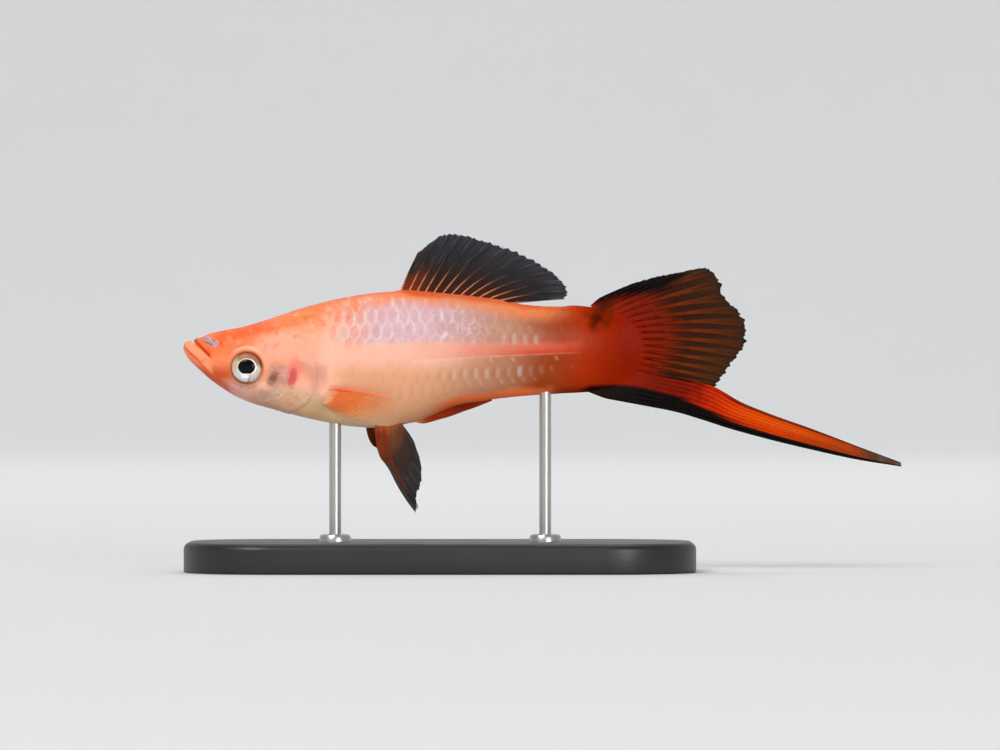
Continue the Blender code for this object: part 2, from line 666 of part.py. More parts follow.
def upright(name, x, y, low, high, radius, sides):
    """An upright cylinder on the stand, placed by its object's location."""
    shell = bmesh.new()
    bmesh.ops.create_cone(shell, cap_ends=True, segments=sides, radius1=radius * MM, radius2=radius * MM,
                          depth=(high - low) * MM)
    made = to_object(name, shell)
    made.location = (x * MM, y * MM, 0.5 * (low + high) * MM)
    return made


def make_base():
    """A flat slab with rounded corners and eased edges, and a boss with a hole for each rod."""
    shell = bmesh.new()
    bmesh.ops.create_cube(shell, size=1.0)
    bmesh.ops.scale(shell, verts=shell.verts, vec=(BASE_LENGTH * MM, BASE_WIDTH * MM, BASE_HEIGHT * MM))
    bmesh.ops.translate(shell, verts=shell.verts, vec=(0.0, 0.0, 0.5 * BASE_HEIGHT * MM))
    corners = [e for e in shell.edges if abs(e.verts[0].co.z - e.verts[1].co.z) > GAP * MM]
    bmesh.ops.bevel(shell, geom=corners, offset=BASE_CORNER * MM, segments=9, profile=0.5, affect="EDGES")
    for height, width, segments in ((BASE_HEIGHT, BASE_BEVEL, 3), (0.0, BASE_FOOT_BEVEL, 1)):
        rim = [e for e in shell.edges if all(abs(v.co.z - height * MM) < GAP * MM / 10 for v in e.verts)]
        bmesh.ops.bevel(shell, geom=rim, offset=width * MM, segments=segments, profile=0.5, affect="EDGES")
    base = to_object("stand_base", shell)
    bosses, holes = [], []
    for name, x in ROD_X.items():
        y, top = bend(rod_s(name)), BASE_HEIGHT + BOSS_HEIGHT
        bosses.append(upright("boss", x, y, BASE_HEIGHT - 1.0, top, BOSS_RADIUS, 28))
        holes.append(upright("hole", x, y, top - BOSS_HOLE_DEPTH, top + 2.0, ROD_RADIUS + GAP, 16))
    combine(base, "UNION", bosses)
    combine(base, "DIFFERENCE", holes)
    dress(base, "base")


def make_rod(name):
    """A rod from its hole in the base to its hole in the belly."""
    low = BASE_HEIGHT + BOSS_HEIGHT - BOSS_HOLE_DEPTH + GAP
    high = AXIS_Z + rod_top(name)
    rod = upright("stand_rod_" + name, ROD_X[name], bend(rod_s(name)), low, high, ROD_RADIUS, 16)
    dress(rod, "rod")


clear_scene()
make_head()
make_jaw()
for side_name, side_sign in (("left", LEFT), ("right", RIGHT)):
    make_gill_cover("gill_cover_" + side_name, side_sign)
    make_eye("eye_" + side_name, side_sign)
    make_pectoral("pectoral_fin_" + side_name, side_sign)
    make_pelvic(side_name)
make_trunk()
make_stalk()
make_dorsal()
make_fan()
make_sword()
make_gonopodium()
make_base()
for rod_name in ROD_X:
    make_rod(rod_name)
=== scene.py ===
"""Looks of a still, life-size model of an adult male swordtail, held over a black base by two steel rods.

Sizes are millimetres unless a name ends in _M. The fish is first worked out straight: s is the distance back
from the tip of the lower jaw, y the distance to the fish's right, and h the height above the level line
through its mouth. settled() bends it along its swimming curve and puts it over the base, in metres.
"""

import math

import bmesh
import bpy
import numpy as np
from mathutils import Matrix, Vector


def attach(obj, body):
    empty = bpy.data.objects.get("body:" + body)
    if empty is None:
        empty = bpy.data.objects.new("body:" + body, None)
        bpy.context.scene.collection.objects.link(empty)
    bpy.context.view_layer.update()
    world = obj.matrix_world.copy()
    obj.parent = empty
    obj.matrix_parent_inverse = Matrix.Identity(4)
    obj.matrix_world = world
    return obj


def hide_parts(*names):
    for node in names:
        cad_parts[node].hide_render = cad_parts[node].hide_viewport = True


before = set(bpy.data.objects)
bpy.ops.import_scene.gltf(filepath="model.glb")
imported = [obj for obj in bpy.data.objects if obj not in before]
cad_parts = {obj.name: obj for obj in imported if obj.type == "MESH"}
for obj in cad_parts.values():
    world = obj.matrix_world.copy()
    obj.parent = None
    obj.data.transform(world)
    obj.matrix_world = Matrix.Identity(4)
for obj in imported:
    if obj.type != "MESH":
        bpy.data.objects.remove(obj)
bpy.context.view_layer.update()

MM = 0.001
NOSE_X, AXIS_Z = -34.3, 29.5
LEFT, RIGHT = -1, 1
SEED = 7

# Profile of head, trunk and tail stalk, as (s, size)
BACK = [(0.0, 1.05), (1.2, 1.15), (1.9, 1.55), (2.7, 1.95), (5.9, 2.8), (7.6, 3.1), (10.3, 3.85), (15.6, 5.6),
        (20.9, 6.95), (28.7, 7.9), (34.3, 7.5), (42.3, 6.6), (46.5, 6.05), (50.3, 5.9), (55.0, 6.05),
        (61.0, 5.7)]
BELLY = [(0.0, -0.6), (1.6, -2.1), (3.7, -4.0), (5.9, -5.5), (7.6, -6.45), (12.9, -8.15), (18.3, -9.5),
         (23.6, -10.3), (28.9, -10.1), (31.6, -9.25), (34.3, -8.1), (36.9, -7.3), (39.6, -6.85), (44.9, -6.2),
         (50.3, -5.85), (55.6, -5.7), (61.0, -5.4)]
HALF_WIDTH = [(0.0, 1.2), (1.4, 1.75), (3.4, 2.45), (6.0, 3.25), (8.7, 3.85), (12.0, 4.3), (17.0, 4.7),
              (22.0, 4.85), (27.0, 4.65), (32.0, 4.15), (38.0, 3.4), (44.0, 2.75), (50.0, 2.2), (55.0, 1.6),
              (61.0, 0.7)]
WIDEST = [(0.0, 0.25), (1.4, -0.1), (3.4, -0.3), (8.7, -0.7), (14.0, -1.2), (22.0, -1.4), (32.0, -0.8),
          (44.0, 0.0), (61.0, 0.1)]
UPPER_FULLNESS = [(0.0, 2.0), (4.0, 2.4), (9.0, 2.7), (16.0, 2.35), (30.0, 2.1), (61.0, 2.0)]
LOWER_FULLNESS = [(0.0, 2.0), (9.0, 2.0), (18.0, 2.1), (28.0, 2.15), (40.0, 2.0), (61.0, 2.0)]
NOSE_LENGTH = 1.2
BEND_START, TAIL_BEND, HEAD_BEND = 24.0, 0.0008, 0.0005
FLESH_END, FLESH_SETBACK, FLESH_HALF_HEIGHT, FLESH_POWER = 58.6, 3.9, 6.0, 2.6
SKIN_INSET = 0.06

# Skin mesh: places along the fish and round it, and how far its flesh runs out over the tail fin
NOSE_RINGS, HEAD_STEP, BODY_STEP, HEAD_END = 16, 0.1, 0.3, 19.5
SKIN_SIDES = 208
SKIN_END, WEDGE_START, WEDGE_LENGTH, WEDGE_HALF = 63.0, 50.0, 5.2, 0.015

# Scales
SCALE_ROWS, ROW_HEIGHT = 20, 1.5
SCALE_PITCH, SCALE_LENGTH = 1.45, 1.5
SCALE_RAMP, SCALE_RIM, SCALE_THICKNESS = 0.085, 0.045, 0.05
TAIL_SCALES_FROM, SCALES_TO = 43.4, 59.6
# Painted silver gleams (bars) and painted glints on each row of scales, counted up from mid-flank: it comes in from s
# to s and goes from s to s, then its share
SILVER_GLEAM_BARS = {-2: ((29.0, 36.0, 43.0, 49.5), 0.9), -3: ((24.0, 30.0, 31.0, 37.0), 0.35),
               1: ((39.0, 43.5, 46.0, 47.5), 0.65), 2: ((36.0, 40.0, 43.0, 47.0), 0.3)}
GLINTS = {-1: ((36.0, 42.0, 47.0, 53.0), 1.0), -2: ((45.0, 47.0, 49.0, 53.0), 0.35),
          -3: ((33.0, 39.0, 43.0, 49.0), 0.7), 2: ((34.0, 40.0, 46.0, 52.0), 0.35)}

# Head
MOUTH = [(0.9, 1.7), (1.35, 1.05), (2.4, 0.22), (3.55, -0.82)]
GILL_SLIT = [(14.6, 3.2), (16.2, 1.4), (17.7, -1.2), (18.0, -4.0), (17.0, -6.6), (14.6, -8.3), (11.6, -9.6)]
COVER_FRONT = [(14.2, 1.2), (12.8, 0.4), (11.75, -2.4), (12.1, -5.2), (13.7, -7.1), (15.6, -7.9)]
EYE_S, EYE_H, EYE_RADIUS, EYE_DOME, EYE_SINK, EYE_FORWARD = 8.65, -2.3, 2.08, 0.78, 0.28, 7.0
NOSTRILS = [(4.1, 1.3), (5.15, 0.85)]
PECTORAL_S, PECTORAL_H = 19.3, -5.7

# Fins: the same lines as the solids'. First number: share of the way across the fin.
DORSAL = [(0.0, 28.9, 31.4, 13.2, 70), (0.08, 29.9, 34.2, 15.3, 66), (0.17, 31.0, 35.7, 15.7, 62),
          (0.25, 32.0, 37.3, 15.6, 60), (0.4, 34.0, 40.8, 14.6, 54), (0.55, 36.0, 45.0, 13.1, 46),
          (0.7, 38.0, 48.6, 11.1, 36), (0.82, 39.6, 50.7, 9.4, 26), (0.92, 41.0, 51.6, 7.7, 16),
          (1.0, 42.1, 51.0, 6.85, 6)]
FAN = [(0.0, 5.9, 57.2, 7.6, 38), (0.05, 5.75, 60.4, 8.95, 34), (0.1, 5.5, 63.8, 9.9, 32),
       (0.15, 5.2, 66.9, 10.5, 30), (0.21, 4.8, 70.0, 11.1, 29), (0.28, 4.3, 71.7, 9.6, 26),
       (0.37, 3.7, 72.6, 7.1, 20), (0.47, 2.9, 74.9, 4.7, 14), (0.57, 2.1, 75.5, 2.3, 9),
       (0.67, 1.2, 75.1, 0.3, 3), (0.78, 0.2, 73.6, -1.6, -3), (0.89, -0.9, 72.4, -3.4, -8),
       (1.0, -2.1, 71.3, -4.8, -11)]
SWORD_TOP = [(0.0, 58.6, -2.0), (0.13, 64.0, -3.2), (0.25, 68.8, -4.3), (0.33, 71.4, -5.35),
             (0.4, 73.8, -6.8), (0.52, 77.6, -8.4), (0.7, 84.4, -10.8), (0.85, 90.0, -12.9),
             (1.0, 95.9, -15.05)]
SWORD_FOOT = [(0.0, 53.0, -5.75), (0.065, 56.6, -6.4), (0.13, 60.1, -7.0), (0.25, 66.0, -8.1), (0.33, 69.4, -9.1),
              (0.4, 72.5, -10.1), (0.52, 77.4, -11.5), (0.7, 84.2, -13.2), (0.85, 90.0, -14.5),
              (1.0, 96.0, -15.5)]
PECTORAL = [(0.0, -4.6, 28.5, -6.3, -6), (0.2, -5.05, 28.9, -7.2, -10), (0.45, -5.6, 28.0, -8.5, -16),
            (0.7, -6.15, 25.8, -9.3, -26), (1.0, -6.8, 22.8, -9.2, -40)]
PECTORAL_FLARE, PECTORAL_STAND_OFF, PECTORAL_SUNK = 0.15, 0.45, 0.4
PELVIC = [(0.0, 26.3, 31.3, 12.4, 88), (0.2, 26.8, 31.4, 11.4, 86), (0.4, 27.3, 31.3, 10.0, 82),
          (0.6, 27.8, 31.9, 8.2, 74), (0.8, 28.3, 31.8, 5.6, 60), (1.0, 28.8, 30.9, 2.9, 46)]
PELVIC_LOBE, PELVIC_LOBE_LENGTH, PELVIC_ROOT_Y = 0.65, 0.42, 1.3
PELVIC_FINS = {"left": (LEFT, 14.0, 0.0, 1.0), "right": (RIGHT, 48.0, -1.2, 0.88)}
GONOPODIUM = [(0.0, 30.9, 0.0), (0.1, 31.7, 0.4), (0.3, 33.7, 0.85), (0.45, 35.3, 1.0), (0.7, 38.0, 0.72),
              (0.88, 40.0, 0.35), (1.0, 41.2, 0.08)]
ROOT_SUNK, FOOT_TUCK = 0.5, 0.55
FAN_CORNER = [(0.0, 0.12), (0.3, 0.19), (0.55, 0.245), (0.8, 0.2), (1.0, 0.155)]
SWORD_KEEL = [(0.0, 0.6), (0.08, 0.5), (0.2, 0.56), (0.33, 0.7), (0.5, 0.76), (0.9, 0.8), (1.0, 0.9)]

# Colours, in 0 to 255 screen values
PEACH, LILAC_SHEEN, SAND, CREAM = (255, 192, 166), (228, 184, 190), (238, 170, 130), (222, 182, 142)
TAN, RUST, SALMON, STRIPE_RED = (190, 130, 98), (156, 62, 22), (240, 156, 134), (208, 62, 20)
BACK_ORANGE, HOT_ORANGE, KEEL_ORANGE_LIT, BELLY_CREAM_LIT = (246, 140, 88), (244, 98, 50), (255, 122, 70), (255, 214, 166)
TAIL_ORANGE, TAIL_RED, BLACK, DARK_BROWN = (170, 42, 0), (134, 24, 0), (12, 6, 5), (62, 18, 0)
HEAD_PEACH, HEAD_ORANGE, CHIN_SHADE, THROAT = (254, 166, 130), (252, 128, 80), (198, 78, 34), (208, 160, 128)
BROWN, LIP, UPPER_LIP, LIP_TIP = (104, 56, 40), (255, 162, 120), (242, 104, 58), (216, 164, 148)
NASAL, NASAL_PALE, NASAL_DARK = (186, 146, 152), (208, 200, 202), (96, 62, 78)
MOUTH_SHADE, EYE_GAP_SHADE, PALE_PINK_AND_HIGHLIGHT = (198, 84, 32), (182, 100, 58), (255, 204, 188)
SCALE_GREY, SCALE_WHITE, SCALE_YELLOW = (170, 138, 138), (255, 232, 232), (255, 206, 160)
SCALE_BROWN, SILVER_GLEAM, SMOKE_SHEEN = (150, 78, 46), (206, 196, 178), (100, 98, 110)
# Patches on the side of the head: place (s, h), half size, tilt in degrees, colour, strength. The patch at (17.0,
# -2.3) is painted shade in the upper rear corner of the gill opening.
HEAD_PATCHES = [((13.6, 0.8), (3.4, 1.8), 0, (255, 176, 154), 0.6), ((8.9, -5.2), (3.2, 0.8), -20, (212, 158, 128), 0.75),
                ((7.4, -5.2), (1.3, 0.6), -25, (206, 150, 162), 0.5), ((12.7, -3.4), (1.5, 1.8), -15, (196, 142, 124), 0.8),
                ((11.6, -6.0), (1.9, 0.7), 10, (206, 164, 144), 0.6), ((17.0, -2.3), (2.2, 1.2), -40, (208, 140, 120), 0.6),
                ((14.9, -2.7), (1.0, 1.3), -10, (240, 118, 108), 0.75), ((14.65, -3.7), (0.62, 1.35), -12, (212, 78, 82), 0.85),
                ((13.7, -3.3), (0.6, 0.8), 0, (222, 168, 152), 0.6), ((12.1, -3.8), (0.6, 0.95), -30, (112, 60, 40), 0.75),
                ((16.6, -1.2), (1.3, 0.55), -30, (255, 196, 172), 0.35), ((18.3, -3.9), (1.2, 2.0), -20, (214, 150, 132), 0.6),
                ((15.6, -6.8), (3.4, 1.7), -10, (232, 184, 148), 0.7), ((18.3, -8.2), (1.7, 1.1), 0, (214, 170, 106), 0.55)]
# The pale lower edge of the cheek, and the dark-edged patch over the nostrils: its middle and tilt
CHEEK_EDGE = [(9.6, -6.4), (11.2, -6.75), (12.6, -6.3), (14.2, -5.2)]
NASAL_PLACE = ((3.87, 1.1), -28)
# Top of the black along the underside of the tail stalk and the sword's root
KEEL_TOP = [(50.0, -6.2), (52.3, -5.6), (55.6, -4.6), (60.9, -5.0), (63.6, -5.6), (68.9, -7.4)]

# Stand
BASE_LENGTH, BASE_WIDTH, BASE_HEIGHT, BASE_CORNER, BASE_BEVEL = 68.0, 34.0, 4.0, 12.0, 0.9
ROD_X = {"front": -14.0, "rear": 14.0}
ROD_RADIUS, COLLAR_RADIUS, COLLAR_HEIGHT, ROD_SINK = 0.8, 2.1, 1.0, 1.2

# Camera: level, square to the fish, with the photo's framing at the fish's middle plane
VIEW_MIDDLE, VIEW_WIDTH, VIEW_DISTANCE, SENSOR = (7.97, 26.2), 133.33, 1000.0, 36.0


class Line:
    """A smooth curve through stations (place, value, ...), held level beyond its ends."""

    def __init__(self, stations):
        table = np.asarray(stations, float)
        self.places, self.values = table[:, 0], table[:, 1:]
        self.slopes = np.gradient(self.values, self.places, axis=0)

    def __call__(self, at):
        at = np.clip(np.asarray(at, float), self.places[0], self.places[-1])
        i = np.clip(np.searchsorted(self.places, at, side="right") - 1, 0, len(self.places) - 2)
        run = (self.places[i + 1] - self.places[i])[..., None]
        t = (at - self.places[i])[..., None] / run
        found = ((2 * t**3 - 3 * t**2 + 1) * self.values[i] + (t**3 - 2 * t**2 + t) * run * self.slopes[i]
                 + (3 * t**2 - 2 * t**3) * self.values[i + 1] + (t**3 - t**2) * run * self.slopes[i + 1])
        return found[..., 0] if found.shape[-1] == 1 else found


SCALES_FROM = Line([(-9.4, 15.6), (-8.3, 16.4), (-6.6, 18.9), (-4.0, 19.9), (-1.2, 19.6), (1.4, 18.0), (3.2, 15.6),
                    (4.2, 12.6)])
back, belly = Line(BACK), Line(BELLY)
half_width, widest = Line(HALF_WIDTH), Line(WIDEST)
upper_fullness, lower_fullness = Line(UPPER_FULLNESS), Line(LOWER_FULLNESS)


def section(s, inset=0.0):
    """Rise, fall, half width and widest height of the body at s, drawn in by inset."""
    middle = widest(s)
    rounding = np.sqrt(np.clip(1 - np.clip(1 - s / NOSE_LENGTH, 0, 1) ** 2, 0, 1))
    rise = np.maximum((back(s) - middle) * rounding - inset, 0.01)
    fall = np.maximum((middle - belly(s)) * rounding - inset, 0.01)
    return rise, fall, np.maximum(half_width(s) * rounding - inset, 0.01), middle


def flank(s, h, inset=0.0):
    """Half the body's width at s and h."""
    rise, fall, half, middle = section(s, inset)
    share = np.clip(np.abs((h - middle) / np.where(h > middle, rise, fall)), 0, 1)
    power = np.where(h > middle, upper_fullness(s), lower_fullness(s))
    return half * (1 - share**power) ** (1 / power)


def underside(s, y):
    _, fall, half, middle = section(s)
    power = lower_fullness(s)
    return middle - fall * (1 - np.minimum(np.abs(y) / half, 1.0) ** power) ** (1 / power)


def bend(s):
    past = np.asarray(s, float) - BEND_START
    return np.where(past > 0, TAIL_BEND, HEAD_BEND) * past * past


def flesh_end(h):
    """How far back the tail stalk's flesh reaches at that height."""
    return FLESH_END - FLESH_SETBACK * np.minimum(np.abs(h) / FLESH_HALF_HEIGHT, 1.25) ** FLESH_POWER


def settled(points):
    """Straight places (s, y, h) bent, moved over the base and turned into metres."""
    s, y, h = np.moveaxis(np.asarray(points, float), -1, 0)
    return np.stack([NOSE_X + s, y + bend(s), AXIS_Z + h], axis=-1) * MM


def ease(x, low, high):
    """0 below low, 1 above high, smooth in between."""
    t = np.clip((np.asarray(x, float) - low) / (high - low), 0, 1)
    return t * t * (3 - 2 * t)


def hill(x, width):
    return np.exp(-((x / width) ** 2))


# Meshes


def grid_faces(rows, columns, closed=False):
    """Quads between rows x columns points numbered row by row, as rows of four point numbers."""
    row = np.arange(rows - 1)[:, None] * columns
    column = np.arange(columns if closed else columns - 1)[None, :]
    after = (column + 1) % columns
    corners = [row + column, row + columns + column, row + columns + after, row + after]
    return np.stack(corners, axis=-1).reshape(-1, 4)


def to_object(name, points, faces, edges=()):
    mesh = bpy.data.meshes.new(name)
    mesh.from_pydata(np.asarray(points).tolist(), list(edges), [list(map(int, face)) for face in faces])
    made = bpy.data.objects.new(name, mesh)
    bpy.context.scene.collection.objects.link(made)
    return made


def face_outwards(target):
    shell = bmesh.new()
    shell.from_mesh(target.data)
    bmesh.ops.recalc_face_normals(shell, faces=shell.faces)
    shell.to_mesh(target.data)
    shell.free()


def point_values(target, name, values, kind="FLOAT"):
    """Stores a number or a vector for each point of a mesh."""
    attribute = target.data.attributes.new(name, kind, "POINT")
    key = "value" if kind == "FLOAT" else "vector"
    attribute.data.foreach_set(key, np.asarray(values, np.float32).ravel())


def corner_places(target, name, places):
    """A UV map from a place (u, v) for each point."""
    corners = np.zeros(len(target.data.loops), np.int32)
    target.data.loops.foreach_get("vertex_index", corners)
    layer = target.data.uv_layers.new(name=name)
    layer.data.foreach_set("uv", np.asarray(places, np.float32)[corners].ravel())


def finish_piece(piece, material, slot, *nodes):
    """Smooths and dresses a finished piece, and puts it in place of CAD nodes."""
    if material:
        piece.data.materials.clear()
        piece.data.materials.append(material)
    piece.data.shade_smooth()
    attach(piece, "root")
    if nodes:
        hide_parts(*nodes)
    return piece


# Node trees


class Value:
    """One output in a node tree, which can be added, multiplied and so on."""

    def __init__(self, tree, socket):
        self.tree, self.socket = tree, socket

    def maths(self, operation, *others):
        return put(self.tree, "ShaderNodeMath", (self, *others), operation=operation)

    def __add__(self, other):
        return self.maths("ADD", other)

    def __sub__(self, other):
        return self.maths("SUBTRACT", other)

    def __mul__(self, other):
        return self.maths("MULTIPLY", other)

    def __truediv__(self, other):
        return self.maths("DIVIDE", other)

    __radd__, __rmul__ = __add__, __mul__

    def __rsub__(self, other):
        return put(self.tree, "ShaderNodeMath", (other, self), operation="SUBTRACT")

    def __abs__(self):
        return self.maths("ABSOLUTE")

    def __pow__(self, other):
        return self.maths("POWER", other)

    def ease(self, low, high):
        """0 at low, 1 at high, smooth in between. low may be the larger."""
        return put(self.tree, "ShaderNodeMapRange", (self, low, high, 0.0, 1.0), interpolation_type="SMOOTHSTEP")

    def parts(self):
        node = put(self.tree, "ShaderNodeSeparateXYZ", (self,)).socket.node
        return [Value(self.tree, output) for output in node.outputs]


def put(tree, kind, inputs=(), output=0, **settings):
    """Adds a node with those settings and inputs, by place or by name, and gives one of its outputs."""
    node = tree.nodes.new(kind)
    for name, setting in settings.items():
        setattr(node, name, setting)
    for key, value in inputs.items() if isinstance(inputs, dict) else enumerate(inputs):
        if isinstance(value, Value):
            tree.links.new(value.socket, node.inputs[key])
        elif value is not None:
            node.inputs[key].default_value = value
    return Value(tree, node.outputs[output])


def paint(red, green, blue):
    """A colour from its 0 to 255 screen values."""
    shares = [c / 255 for c in (red, green, blue)]
    return (*[c / 12.92 if c < 0.04045 else ((c + 0.055) / 1.055) ** 2.4 for c in shares], 1.0)


def mix(first, second, share):
    """From the first colour to the second, by share. A colour is a Value or three screen values."""
    tree = next(v.tree for v in (share, first, second) if isinstance(v, Value))
    first, second = (c if isinstance(c, Value) or len(c) == 4 else paint(*c) for c in (first, second))
    return put(tree, "ShaderNodeMix", {0: share, 6: first, 7: second}, output=2, data_type="RGBA")


def noise(tree, place, size, detail=2.0, roughness=0.5):
    """Soft noise from 0 to 1, with spots about that many millimetres across."""
    inputs = {"Vector": place, "Scale": 1 / (size * MM), "Detail": detail, "Roughness": roughness}
    return put(tree, "ShaderNodeTexNoise", inputs)


def follow(value, stations):
    """The value of a curve through stations (place, value), as a Float Curve node over their range."""
    table = np.array(stations)
    (start, low), (end, high) = table.min(axis=0), table.max(axis=0)
    node = put(value.tree, "ShaderNodeFloatCurve", {1: (value - start) / (end - start)}).socket.node
    points = node.mapping.curves[0].points
    while len(points) < len(table):
        points.new(0.5, 0.5)
    for point, (at, height) in zip(points, table):
        point.location = ((at - start) / (end - start), (height - low) / (high - low))
    node.mapping.update()
    return Value(value.tree, node.outputs[0]) * (high - low) + low


def tilted(across, up, at, tilt):
    """A place counted from another one, along and square to a line tilted by degrees."""
    cos, sin = math.cos(math.radians(tilt)), math.sin(math.radians(tilt))
    dx, dy = across - at[0], up - at[1]
    return dx * cos + dy * sin, dy * cos - dx * sin


def spot(across, up, at, size, tilt):
    """1 inside an ellipse at a place, 0 outside, soft at its edge. Its long side is tilted by degrees."""
    long, short = tilted(across, up, at, tilt)
    return ((long / size[0]) ** 2.0 + (short / size[1]) ** 2.0).ease(1.9, 0.1)


def new_material(name):
    """A material with its node tree, its shader and the place on the model."""
    material = bpy.data.materials.new(name)
    material.use_nodes = True
    tree = material.node_tree
    place = put(tree, "ShaderNodeTexCoord", output="Object")
    return material, tree, tree.nodes["Principled BSDF"], place


def wire(shader, name, value):
    if isinstance(value, Value):
        value.tree.links.new(value.socket, shader.inputs[name])
    else:
        shader.inputs[name].default_value = value


def bumped(tree, height, distance, strength=1.0):
    """A surface whose normal follows a height from 0 to 1, that many millimetres deep."""
    inputs = {"Height": height, "Distance": distance * MM, "Strength": strength}
    return put(tree, "ShaderNodeBump", inputs)


def side_place(place):
    """s, h and y of a place on the model, in millimetres, as nodes."""
    x, y, z = place.parts()
    return x / MM - NOSE_X, z / MM - AXIS_Z, y / MM


def modifier_tree(name, sizes):
    """A geometry node tree with those named inputs, and its first value by name."""
    tree = bpy.data.node_groups.new(name, "GeometryNodeTree")
    tree.interface.new_socket("Geometry", in_out="INPUT", socket_type="NodeSocketGeometry")
    for label, kind in sizes.items():
        tree.interface.new_socket(label, in_out="INPUT", socket_type="NodeSocket" + kind)
    tree.interface.new_socket("Geometry", in_out="OUTPUT", socket_type="NodeSocketGeometry")
    start = tree.nodes.new("NodeGroupInput")
    return tree, {output.name: Value(tree, output) for output in start.outputs if output.name}


def end_tree(tree, geometry, material):
    """Ends a geometry node tree: instances made real, shaded smooth, with their material."""
    real = put(tree, "GeometryNodeRealizeInstances", (geometry,))
    smooth = put(tree, "GeometryNodeSetShadeSmooth", (real,))
    dressed = put(tree, "GeometryNodeSetMaterial", {"Geometry": smooth, "Material": material})
    tree.links.new(dressed.socket, tree.nodes.new("NodeGroupOutput").inputs[0])
    return tree


def grown(name, host, tree, **sizes):
    """What a geometry node tree makes of the host mesh, as a plain mesh object."""
    modifier = host.modifiers.new(tree.name, "NODES")
    modifier.node_group = tree
    for item in tree.interface.items_tree:
        if item.in_out == "INPUT" and item.name.replace(" ", "_") in sizes:
            modifier[item.identifier] = sizes[item.name.replace(" ", "_")]
    graph = bpy.context.evaluated_depsgraph_get()
    mesh = bpy.data.meshes.new_from_object(host.evaluated_get(graph), depsgraph=graph)
    bpy.data.objects.remove(host, do_unlink=True)
    mesh.name = name
    made = bpy.data.objects.new(name, mesh)
    bpy.context.scene.collection.objects.link(made)
    return made


# The fish's own surface


def round_the_body(stations, shares, inset):
    """Places (s, y, h) on the body, for each s and each share of the way round it.

    A share is 0 along the belly, 0.25 along the left side, 0.5 along the back, 0.75 along the right side.
    Equal steps of it are rows of scales: near the middle of the flank every row is as high, and the rows
    near the back and belly take up what is left.
    """
    turns = np.linspace(-math.pi / 2, math.pi / 2, 241)
    shares = np.asarray(shares) % 1.0
    side = np.where(shares > 0.5, RIGHT, LEFT)
    rows = (np.where(shares > 0.5, 1 - shares, shares) - 0.25) * SCALE_ROWS
    half_rows = SCALE_ROWS / 4
    found = np.zeros((len(stations), len(shares), 3))
    for j, s in enumerate(stations):
        rise, fall, half, middle = section(np.array(s), inset)
        power = np.where(turns > 0, upper_fullness(s), lower_fullness(s))
        y = half * np.abs(np.cos(turns)) ** (2 / power)
        h = middle + np.where(turns > 0, rise, fall) * np.sign(turns) * np.abs(np.sin(turns)) ** (2 / power)
        arc = np.concatenate([[0.0], np.cumsum(np.hypot(np.diff(y), np.diff(h)))])
        middle_arc = np.interp(0.5 * middle, h, arc)
        room = np.where(rows > 0, arc[-1] - middle_arc, middle_arc)
        height = np.minimum(ROW_HEIGHT, room / half_rows)
        away = height * np.abs(rows) + (room - half_rows * height) * (np.abs(rows) / half_rows) ** 3
        at = middle_arc + np.sign(rows) * away
        found[j] = np.stack([np.full(len(shares), s), side * np.interp(at, arc, y), np.interp(at, arc, h)], -1)
    return found


def over_the_tail(places):
    """Stretches the body's rear end into a thin wedge over the root of the tail fin."""
    s, y, h = np.moveaxis(places, -1, 0)
    end = flesh_end(h) + WEDGE_LENGTH * (1 - 0.8 * np.minimum(np.abs(h) / FLESH_HALF_HEIGHT, 1.0) ** 2)
    back_share = np.clip((s - WEDGE_START) / (SKIN_END - WEDGE_START), 0, 1)
    moved = np.where(s > WEDGE_START, WEDGE_START + back_share * (end - WEDGE_START), s)
    past = moved - flesh_end(h)
    thin = 1 - 0.985 * ease(past, -4.5, WEDGE_LENGTH)
    y = np.sign(y) * np.where(s > WEDGE_START, np.abs(y) * thin + WEDGE_HALF * ease(back_share, 0.8, 1.0), np.abs(y))
    return np.stack([moved, y, h], -1)


def outward(places):
    """Directions out of a grid of places that goes back along its rows and up the left side first."""
    back_step = np.gradient(places, axis=0)
    round_step = np.gradient(places, axis=1)
    way = np.cross(round_step, back_step)
    length = np.linalg.norm(way, axis=-1, keepdims=True)
    way = way / np.maximum(length, 1e-9)
    middle = places.mean(axis=1, keepdims=True)
    if ((places - middle) * way).sum() < 0:
        way = -way
    return way


def near_path(stations, s, h, steps=24):
    """Signed distance of each place from a smooth path in side view, and the share of it passed there."""
    corners = np.asarray(stations, float)
    passed = np.concatenate([[0.0], np.cumsum(np.hypot(*np.diff(corners, axis=0).T))])
    line = Line(np.column_stack([passed, corners]))
    path = line(np.linspace(0, passed[-1], steps + 1))
    nearest, sign, share = np.full(s.shape, 1e9), np.ones(s.shape), np.zeros(s.shape)
    for i, (a, b) in enumerate(zip(path, path[1:])):
        run = b - a
        t = np.clip(((s - a[0]) * run[0] + (h - a[1]) * run[1]) / (run @ run), 0, 1)
        away = np.hypot(s - a[0] - t * run[0], h - a[1] - t * run[1])
        closer = away < nearest
        side = np.sign((s - a[0]) * -run[1] + (h - a[1]) * run[0])
        nearest, sign = np.where(closer, away, nearest), np.where(closer, side, sign)
        share = np.where(closer, (i + t) / steps, share)
    return nearest * np.where(sign == 0, 1, sign), share


